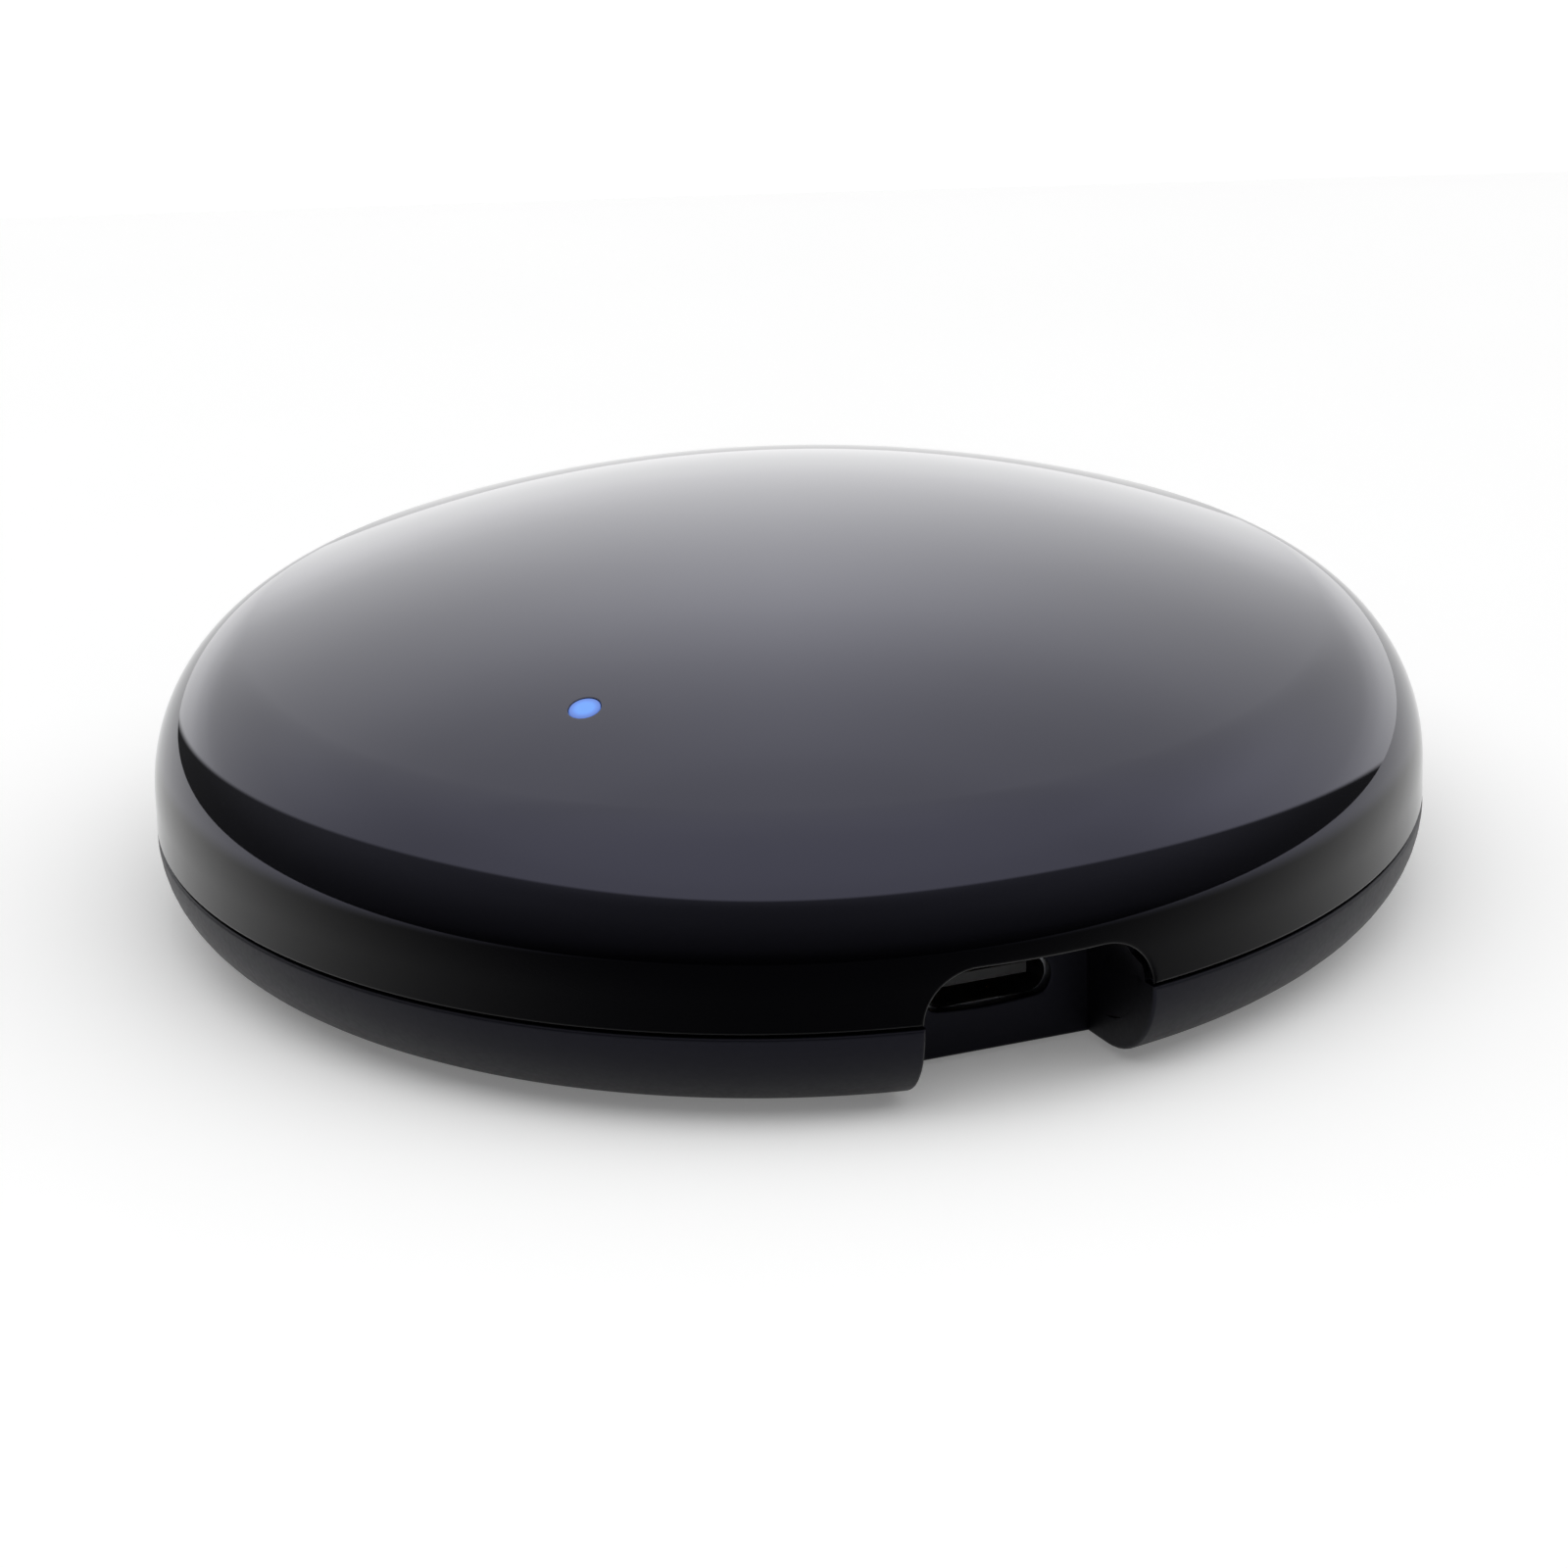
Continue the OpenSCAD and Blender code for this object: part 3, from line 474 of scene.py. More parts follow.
EMITTERS = range(1, 9)
NODES_BY_FINISH: tuple[tuple[Finish, tuple[str, ...]], ...] = (
    (COVER_GLOSS, ("top_cover",)),
    (BASE_SATIN, ("bottom_cover",)),
    (RUBBER, ("foot_ring",)),
    (SCREW_STEEL, ("case_screws", "board_screws")),
    (BUTTON, ("reset_button", "switch_plunger")),
    (BOARD_GREEN, ("main_board",)),
    (SHELL_STEEL, ("usb_shell", "wifi_shield", "switch_cover")),
    (INSULATOR, ("usb_tongue",)),
    (GOLD, ("usb_contacts",)),
    (CHIP_BLACK, ("ir_receiver", "switch_base", "regulator", "capacitor_base", "driver_transistors",
                  "chip_resistors")),
    (TINNED_LEAD, ("receiver_leads", "switch_leads", "regulator_leads", "driver_leads",
                   *(f"ir_leads_{i}" for i in EMITTERS))),
    (BOARD_BLUE, ("wifi_board",)),
    (CHIP_WHITE, ("status_led",)),
    (CAN, ("bulk_capacitor",)),
    (CERAMIC, ("chip_capacitors",)),
    (PIPE_GLOW, ("light_pipe",)),
    (EPOXY, tuple(f"ir_led_{i}" for i in EMITTERS)),
)


def tube(inside: float, outside: float, low: float, high: float) -> list[tuple[float, float]]:
    """Gives the outline of a tube as pairs of radius and height."""
    return [(inside, low), (outside, low), (outside, high), (inside, high)]


def bridge(mesh: bmesh.types.BMesh, first: Sequence[Corner], second: Sequence[Corner],
           ring: bool = True) -> None:
    """Joins two lines of corners with quads, all the way round where they are rings.

    Args:
        mesh: The mesh that gets the quads.
        first: The first line.
        second: A line with as many corners.
        ring: Whether the last corners are joined to the first ones.
    """
    for i in range(len(first) if ring else len(first) - 1):
        following = (i + 1) % len(first)
        mesh.faces.new((first[i], first[following], second[following], second[i]))


class Sheet:
    """A sheet of quads over rows of corners, in which openings are ringed by quads of their own."""

    def __init__(self, mesh: bmesh.types.BMesh, rows: Sequence[Sequence[Vector | None]]) -> None:
        """Makes the corners.

        Args:
            mesh: The mesh that gets the sheet.
            rows: Rows of equal length round the axis, with None where the sheet has no corner.
        """
        self.mesh = mesh
        self.rows = [[mesh.verts.new(place) if place else None for place in row] for row in rows]
        self.corners = [corner for row in self.rows for corner in row if corner]
        self.left_out: set[tuple[int, int]] = set()

    def open_up(self, rows: tuple[int, int], columns: tuple[int, int], edge: Callable[[Vector, int], Vector],
                rings: int, settle: Callable[[Vector], Vector]) -> list[Corner]:
        """Leaves a block of cells out and fills it with rings round an opening.

        Args:
            rows: First and last row of the block. From row zero, the opening cuts through the sheet's rim.
            columns: First and last column of the block, which may run past the last one.
            edge: Gives the opening's point for a point of the block's border and its number.
            rings: Number of rings between the opening and the block's border.
            settle: Moves a point onto the sheet's own surface.

        Returns:
            The corners round the opening.
        """
        (low, high), (left, right) = rows, columns
        width = len(self.rows[0])
        self.left_out |= {(row, column % width) for row in range(low, high) for column in range(left, right)}
        border = [(row, left) for row in range(low, high)] + [(high, column) for column in range(left, right)]
        border += [(row, right) for row in range(high, low, -1)]
        border += [(low, column) for column in range(right, left, -1)] if low else [(low, right)]
        line = [self.rows[row][column % width] for row, column in border]
        outer = line
        points = [edge(corner.co, i) for i, corner in enumerate(line)]
        for step in range(1, rings + 1):
            share = step / rings
            inner = [self.mesh.verts.new(settle(corner.co.lerp(point, share)))
                     for corner, point in zip(line, points)]
            bridge(self.mesh, outer, inner, ring=low > 0)
            self.corners += inner
            outer = inner
        return outer

    def fill(self, middle: Vector | None = None) -> None:
        """Makes the quads, and a fan to the middle where it is given."""
        width = len(self.rows[0])
        for row, (lower, upper) in enumerate(zip(self.rows, self.rows[1:])):
            for column in range(width):
                following = (column + 1) % width
                cell = (lower[column], lower[following], upper[following], upper[column])
                if all(cell) and (row, column) not in self.left_out:
                    self.mesh.faces.new(cell)
        if middle:
            hub = self.mesh.verts.new(middle)
            self.corners.append(hub)
            last = self.rows[-1]
            for column in range(width):
                self.mesh.faces.new((last[column], last[(column + 1) % width], hub))

    def line_with(self, inner: "Sheet") -> list[bmesh.types.BMEdge]:
        """Closes the space between this sheet and one of the same layout behind it.

        Args:
            inner: The sheet behind.

        Returns:
            The open edges of this sheet, which are now the shell's outer edges.
        """
        behind = dict(zip(self.corners, inner.corners))
        rim = [edge for edge in self.mesh.edges if len(edge.link_faces) == 1 and edge.verts[0] in behind]
        for edge in rim:
            near, far = edge.verts
            self.mesh.faces.new((near, far, behind[far], behind[near]))
        return rim


@dataclass
class Piece:
    """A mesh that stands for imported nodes, in millimetres until it is placed."""

    name: str
    nodes: tuple[str, ...]
    slot: str
    finish: Finish
    shape: Profile = PUCK
    mesh: bmesh.types.BMesh = field(default_factory=bmesh.new)
    sharp_from: float = math.cos(math.radians(35.0))

    def facing(self, place: Vector) -> Vector | None:
        """Gives the exact direction of the piece's main face at a point, or None away from that face."""
        return None

    def revolve(self, outline: Sequence[tuple[float, float]], angle: float, reach: float,
                sides: int = 48) -> None:
        """Adds a closed solid of revolution, such as a post or a boss.

        Args:
            outline: Closed outline as pairs of radius and height.
            angle: Angle of its axis from the pocket, in degrees.
            reach: Distance of its axis from the middle.
            sides: Number of sides.
        """
        axis = round_the_axis(angle, reach, 0.0)
        turns = [360 * i / sides for i in range(sides)]
        rings = [[self.mesh.verts.new(axis + round_the_axis(turn, radius, height)) for turn in turns]
                 for radius, height in outline]
        for first, second in zip(rings, rings[1:] + rings[:1]):
            bridge(self.mesh, first, second)

    def soften(self, edges: Sequence[bmesh.types.BMEdge], size: float) -> None:
        """Rounds edges as a mould does."""
        bmesh.ops.recalc_face_normals(self.mesh, faces=self.mesh.faces)
        bmesh.ops.bevel(self.mesh, geom=list(edges), offset=size, segments=4, profile=0.5, affect="EDGES",
                        clamp_overlap=False)

    def place(self, lift: float = PUCK.lift) -> bpy.types.Object:
        """Turns the mesh into an object on its body, with exact shading directions and its finish.

        Args:
            lift: Height of the piece's own zero above the floor.

        Returns:
            The placed object.
        """
        loose = [corner for corner in self.mesh.verts if not corner.link_faces]
        bmesh.ops.delete(self.mesh, geom=loose, context="VERTS")
        bmesh.ops.recalc_face_normals(self.mesh, faces=self.mesh.faces)
        exact = {corner: self.facing(corner.co) for corner in self.mesh.verts}
        areas = {face: face.calc_area() for face in self.mesh.faces}
        directions = []
        for face in self.mesh.faces:
            for corner in face.verts:
                soft = (other.normal * areas[other] for other in corner.link_faces
                        if other.normal.dot(face.normal) > self.sharp_from)
                directions.append(exact[corner] or sum(soft, Vector()).normalized())
        for corner in self.mesh.verts:
            corner.co = (corner.co + Vector((0.0, 0.0, lift))) * MM
        data = bpy.data.meshes.new(self.name)
        self.mesh.to_mesh(data)
        self.mesh.free()
        data.shade_smooth()
        data.normals_split_custom_set(directions)
        data.materials.append(self.finish.build())
        piece = bpy.data.objects.new(self.name, data)
        bpy.context.scene.collection.objects.link(piece)
        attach(piece, Body.HOUSING.value)
        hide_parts(*self.nodes)
        LOG.info("%s placed with %d faces", self.name, len(data.polygons))
        return piece


@dataclass
class TopCover(Piece):
    """The domed upper cover: a gloss shell with the pocket's arch, the light pipe's hole, bosses and ribs."""

    column_step: float = 1.5
    patch_half: int = 10
    patch_rows: int = 12
    patch_top: float = 13.2
    shoulder_rows: int = 16
    crown_rows: int = 34
    edge_round: float = 0.25
    pipe_hole: float = 1.05
    pipe_boss: float = 2.4
    pipe_boss_top: float = 20.2
    pipe_rows: tuple[int, int] = (2, 3)
    pipe_columns: int = 4
    pipe_rings: int = 4
    arch_rings: int = 8
    boss_hole: float = 1.02
    boss: float = 2.5
    boss_foot: float = 3.5
    boss_top: float = 19.6
    rib_low: float = 14.5
    rib_half: float = 0.5
    rib_inner: float = 13.2
    rib_outer: float = 37.8
    rib_steps: int = 24
    rib_bite: float = 0.75

    def facing(self, place: Vector) -> Vector | None:
        """Gives the dome's direction for the corners that lie on its outer face."""
        on_face, direction = self.shape.on_dome(place)
        on_dome = (on_face - place).length < ON_FACE and place.z > self.foot + self.edge_round / 2
        return direction if on_dome else None

    @property
    def foot(self) -> float:
        """Height of the cover's lower edge, over the seam."""
        return self.shape.edge + self.shape.seam_gap

    def face(self, inset: float) -> Sheet:
        """Builds the outer face, or the inner one of the same layout.

        Args:
            inset: Depth below the outer face.

        Returns:
            The sheet, with its openings.
        """
        shape = self.shape
        angles = [self.column_step * i for i in range(round(360 / self.column_step))]
        rise = (self.patch_top - self.foot) / self.patch_rows
        levels = [round_the_axis(0, shape.radius, self.foot + rise * i) for i in range(self.patch_rows + 1)]
        start = math.asin((self.patch_top - shape.wall_top) / (shape.shoulder - inset))
        for i in range(1, self.shoulder_rows + 1):
            slope = start + (shape.crown_slope - start) * i / self.shoulder_rows
            levels.append(Vector((0.0, -shape.shoulder_middle - shape.shoulder * math.cos(slope),
                                  shape.wall_top + shape.shoulder * math.sin(slope))))
        for i in range(1, self.crown_rows):
            slope = shape.crown_slope + (math.pi / 2 - shape.crown_slope) * i / self.crown_rows
            levels.append(Vector((0.0, -shape.crown * math.cos(slope), shape.crown_middle
                                  + shape.crown * math.sin(slope))))
        settled = [shape.on_dome(level, inset)[0] for level in levels]
        for i in range(self.patch_rows + 1):
            height = levels[i].z
            reach = -settled[i].y
            if height > shape.wall_top:
                reach = shape.shoulder_reach(height, inset)
            settled[i] = Vector((0.0, -reach, height))
        sheet = Sheet(self.mesh, [[round_the_axis(angle, -level.y, level.z) for angle in angles]
                                  for level in settled])

        def settle(place: Vector) -> Vector:
            """Moves a point of the arch's patch sideways onto the face, at its own height."""
            reach = -shape.on_dome(Vector((0.0, -shape.radius, place.z)), inset)[0].y
            if place.z > shape.wall_top:
                reach = shape.shoulder_reach(place.z, inset)
            across = math.hypot(place.x, place.y)
            return Vector((place.x * reach / across, place.y * reach / across, place.z))

        def arch(_: Vector, i: int) -> Vector:
            """Gives the arch's points in turn, from its left foot over the top to its right foot."""
            corner, middle = shape.pocket_corner, shape.pocket_half - shape.pocket_corner
            base = shape.pocket_top - corner
            low = math.asin((self.foot - base) / corner)
            if i <= self.patch_rows:
                turn = low + (math.pi / 2 - low) * i / self.patch_rows
                x, z = -middle - corner * math.cos(turn), base + corner * math.sin(turn)
            elif i < self.patch_rows + 2 * self.patch_half:
                x, z = -middle + middle * (i - self.patch_rows) / self.patch_half, shape.pocket_top
            else:
                left = 2 * (self.patch_rows + self.patch_half) - i
                turn = low + (math.pi / 2 - low) * left / self.patch_rows
                x, z = middle + corner * math.cos(turn), base + corner * math.sin(turn)
            reach = -settle(Vector((0.0, -shape.radius, z))).y
            return Vector((x, -math.sqrt(reach**2 - x**2), z))

        sheet.open_up((0, self.patch_rows), (-self.patch_half, self.patch_half), arch, self.arch_rings,
                      settle)
        axis = round_the_axis(shape.pipe_angle, shape.pipe_reach, 0.0)
        column = round(shape.pipe_angle / self.column_step)
        crown_start = self.patch_rows + self.shoulder_rows
        gap = shape.crown * (math.pi / 2 - shape.crown_slope) / self.crown_rows
        row = crown_start + round((shape.crown * math.cos(shape.crown_slope) - shape.pipe_reach) / gap)

        def hole(place: Vector, _: int) -> Vector:
            """Gives the point of the light pipe's hole that faces a point of the patch's border."""
            away = Vector((place.x - axis.x, place.y - axis.y, 0.0)).normalized()
            return axis + away * self.pipe_hole + Vector((0.0, 0.0, place.z))

        def settle_crown(place: Vector) -> Vector:
            """Moves a point up or down onto the crown."""
            return Vector((place.x, place.y, shape.crown_height(place.xy.length, inset)))

        sheet.open_up((row - self.pipe_rows[0], row + self.pipe_rows[1]),
                      (column - self.pipe_columns, column + self.pipe_columns), hole, self.pipe_rings,
                      settle_crown)
        sheet.fill(Vector((0.0, 0.0, shape.height - inset)))
        return sheet

    def build(self) -> None:
        """Builds the shell, softens its outer edges and adds the bosses and ribs inside."""
        shape = self.shape
        outer = self.face(0.0)
        rim = outer.line_with(self.face(shape.wall))
        middle = round_the_axis(shape.pipe_angle, shape.pipe_reach, 0.0)
        at_pipe = [edge for edge in rim if (edge.verts[0].co.xy - middle.xy).length < 2 * self.pipe_hole]
        at_rim = [edge for edge in rim if edge not in at_pipe]
        self.soften(at_rim, self.edge_round)
        self.soften([edge for edge in at_pipe if edge.is_valid], self.edge_round / 4)
        self.revolve(tube(self.pipe_hole, self.pipe_boss, shape.pipe_boss_foot, self.pipe_boss_top),
                     shape.pipe_angle, shape.pipe_reach)
        for angle in (-90, 90, 180):
            self.revolve(tube(self.boss_hole, self.boss, self.boss_foot, self.boss_top), angle,
                         shape.screw_circle)
            self.rib(angle)
        self.place()

    def rib(self, angle: float) -> None:
        """Adds the rib that braces a boss against the crown and the wall."""
        low, half, inset = self.rib_low, self.rib_half, self.shape.wall * self.rib_bite
        span = self.rib_outer - self.rib_inner
        reaches = [self.rib_inner + span * i / self.rib_steps for i in range(self.rib_steps + 1)]
        line = [(reaches[0], low), *((r, self.roof(r, inset)) for r in reaches), (reaches[-1], low)]
        turn = Matrix.Rotation(math.radians(angle), 3, "Z")
        sides = [[self.mesh.verts.new(turn @ Vector((x, -r, z))) for r, z in line] for x in (-half, half)]
        self.mesh.faces.new(sides[0])
        self.mesh.faces.new(sides[1])
        bridge(self.mesh, sides[0], sides[1])

    def roof(self, reach: float, inset: float) -> float:
        """Gives the height of the face set in from the dome, at a distance from the axis."""
        shape = self.shape
        if reach < (shape.crown - inset) * math.cos(shape.crown_slope):
            return shape.crown_height(reach, inset)
        shoulder = shape.shoulder - inset
        return shape.wall_top + math.sqrt(max(0.0, shoulder**2 - (reach - shape.shoulder_middle)**2))


@dataclass
class BottomCover(Piece):
    """The satin lower cover: a bowl with the foot ring's groove, the plug pocket and the posts."""

    column_step: float = 1.5
    notch_columns: int = 10
    warped: int = 4
    edge_rows: int = 14
    corner_round: float = 0.25
    groove_depth: float = 0.8
    groove_half: float = 3.6
    reset_reach: float = 12.0
    reset_hole: float = 3.1
    flat_height: float = 0.05
    reset_rows: tuple[int, int] = (14, 19)
    reset_rings: int = 4
    screw_hole: float = 2.15
    screw_rows: tuple[int, int] = (1, 7)
    screw_columns: int = 4
    screw_rings: int = 3
    notch_steps: int = 24
    groove_steps: int = 8
    nudge: float = 0.1
    floor_reaches: tuple[float, ...] = (20.7, 17.5, 15.3, 13.1, 10.9, 8.7, 6.5, 4.0, 2.0)
    post_hole: float = 1.02
    post: float = 2.5
    post_foot: float = 1.5
    post_top: float = 6.1
    head: float = 2.1
    head_top: float = 2.3
    shank: float = 1.2
    case_post: float = 3.3
    case_post_top: float = 3.5
    lip_middle: float = 40.0
    lip_gap: float = 1.2
    lip_steps: int = 220

    def facing(self, place: Vector) -> Vector | None:
        """Gives the bowl's direction for the corners that lie on its round edge."""
        if not self.flat_height < place.z < self.shape.edge - self.corner_round / 2:
            return None
        on_face, direction = self.shape.on_bowl(place)
        return direction if (on_face - place).length < ON_FACE else None

    def levels(self, inner: bool) -> list[tuple[float, float]]:
        """Gives the rows of the outer or the inner face, from the rim to the middle.

        Args:
            inner: Whether the rows are those of the inner face.

        Returns:
            Pairs of distance from the axis and height.
        """
        shape = self.shape
        middle = shape.radius - shape.edge
        arc = shape.edge - (shape.wall if inner else 0.0)
        rows = []
        for i in range(self.edge_rows + 1):
            turn = math.pi / 2 * i / self.edge_rows
            rows.append((middle + arc * math.cos(turn), shape.edge - arc * math.sin(turn)))
        outside = shape.screw_circle + self.groove_half
        inside = shape.screw_circle - self.groove_half
        floor = shape.wall if inner else 0.0
        roof = shape.wall if inner else self.groove_depth
        nudge = self.nudge if inner else 0.0
        rows += [(self.corner_reach, floor), (outside + nudge, floor), (outside - nudge, roof)]
        step = 2 * self.groove_half / self.groove_steps
        rows += [(outside - step * i, roof) for i in range(1, self.groove_steps)]
        rows += [(inside + nudge, roof), (inside - nudge, floor)]
        return rows + [(reach, floor) for reach in self.floor_reaches]

    @property
    def corner_reach(self) -> float:
        """Distance from the axis to the pocket's back corners."""
        return math.hypot(self.shape.pocket_back, self.shape.pocket_back_half)

    def row(self, number: int, reach: float, height: float) -> list[Vector | None]:
        """Places one row's corners: the regular columns, then those along the pocket from left to right.

        Args:
            number: Number of the row, from the rim.
            reach: Distance of the row from the axis.
            height: Height of the row.

        Returns:
            The row's corners, with None where the pocket is.
        """
        shape = self.shape
        half = self.column_step * self.notch_columns
        regular = [half + self.column_step * i for i in range(round((360 - 2 * half) / self.column_step) + 1)]
        places: list[Vector | None] = [round_the_axis(angle, reach, height) for angle in regular]
        between = self.notch_steps
        if number > self.edge_rows + 1:
            step = 2 * half / between
            return places + [round_the_axis(-half + step * i, reach, height) for i in range(1, between)]
        edge = shape.pocket_edge(reach)
        near = [half + (edge - half) * i / self.warped for i in range(1, self.warped + 1)]
        left = [round_the_axis(-angle, reach, height) for angle in near]
        right = [round_the_axis(angle, reach, height) for angle in reversed(near)]
        span = between - 2 * self.warped
        if number <= self.edge_rows:
            return places + left + [None] * (span - 1) + right
        back = [Vector((shape.pocket_back_half * (2 * i / span - 1), -shape.pocket_back, height))
                for i in range(1, span)]
        return places + left + back + right

    def face(self, inner: bool) -> Sheet:
        """Builds the outer or the inner face, with the holes for the button and the screws."""
        levels = self.levels(inner)
        sheet = Sheet(self.mesh, [self.row(i, reach, height) for i, (reach, height) in enumerate(levels)])
        depth = levels[-1][1]
        groove = self.edge_rows + 3
        first = round(90 / self.column_step) - self.notch_columns

        def ring(axis: Vector, radius: float) -> Callable[[Vector, int], Vector]:
            """Gives the function that places a hole's corners towards the border's corners."""
            def corner(place: Vector, _: int) -> Vector:
                """Gives the hole's corner that faces a corner of the border."""
                away = Vector((place.x - axis.x, place.y - axis.y, 0.0)).normalized()
                return axis + away * radius + Vector((0.0, 0.0, place.z))
            return corner

        def settle(place: Vector) -> Vector:
            """Leaves a point of a flat face where it is."""
            return place

        for quarter in (1, 2, 3):
            column = first + (quarter - 1) * round(90 / self.column_step)
            axis = round_the_axis(90 * quarter, self.shape.screw_circle, 0.0)
            sheet.open_up((groove + self.screw_rows[0], groove + self.screw_rows[1]),
                          (column - self.screw_columns, column + self.screw_columns),
                          ring(axis, self.screw_hole), self.screw_rings, settle)
        low, high = (self.edge_rows + row for row in self.reset_rows)
        full = len(sheet.rows[0])
        sheet.open_up((low, high), (full - self.notch_steps - self.notch_columns, full + self.notch_columns),
                      ring(round_the_axis(0, self.reset_reach, 0.0), self.reset_hole), self.reset_rings,
                      settle)
        sheet.fill(Vector((0.0, 0.0, depth)))
        return sheet

    def build(self) -> None:
        """Builds the bowl, softens its edges and adds the lip, the posts and the pocket's walls."""
        shape = self.shape
        outer = self.face(inner=False)
        rim = outer.line_with(self.face(inner=True))
        axis = round_the_axis(0, self.reset_reach, 0.0)
        near = shape.screw_circle + self.groove_half
        softened = [edge for edge in rim if edge.verts[0].co.xy.length > near
                    or (edge.verts[0].co.xy - axis.xy).length < self.reset_hole + self.nudge]
        self.soften(softened, self.corner_round)
        for angle in (90, 180, 270):
            self.revolve([(self.head, self.post_foot), (self.head, self.head_top),
                          (self.shank, self.head_top), (self.shank, self.case_post_top),
                          (self.case_post, self.case_post_top),
                          (self.case_post, self.post_foot)], angle, shape.screw_circle)
        for angle in (-60, 60, 180):
            self.revolve(tube(self.post_hole, self.post, self.post_foot, self.post_top), angle,
                         shape.post_circle)
        self.lip()
        PocketWalls(self.mesh, shape).build()
        self.place()

    def lip(self) -> None:
        """Adds the locating lip inside the top cover's skirt, which ends inside the pocket's walls."""
        shape, count = self.shape, self.lip_steps
        outline = tube(shape.lip_inner, shape.lip_outer, shape.lip_foot, shape.lip_top)
        start = shape.pocket_edge(self.lip_middle) + self.lip_gap
        angles = [start + (360 - 2 * start) * i / count for i in range(count + 1)]
        rings = [[self.mesh.verts.new(round_the_axis(angle, *corner)) for corner in outline]
                 for angle in angles]
        for first, second in zip(rings, rings[1:]):
            bridge(self.mesh, first, second)
        self.mesh.faces.new(rings[0])
        self.mesh.faces.new(rings[-1])


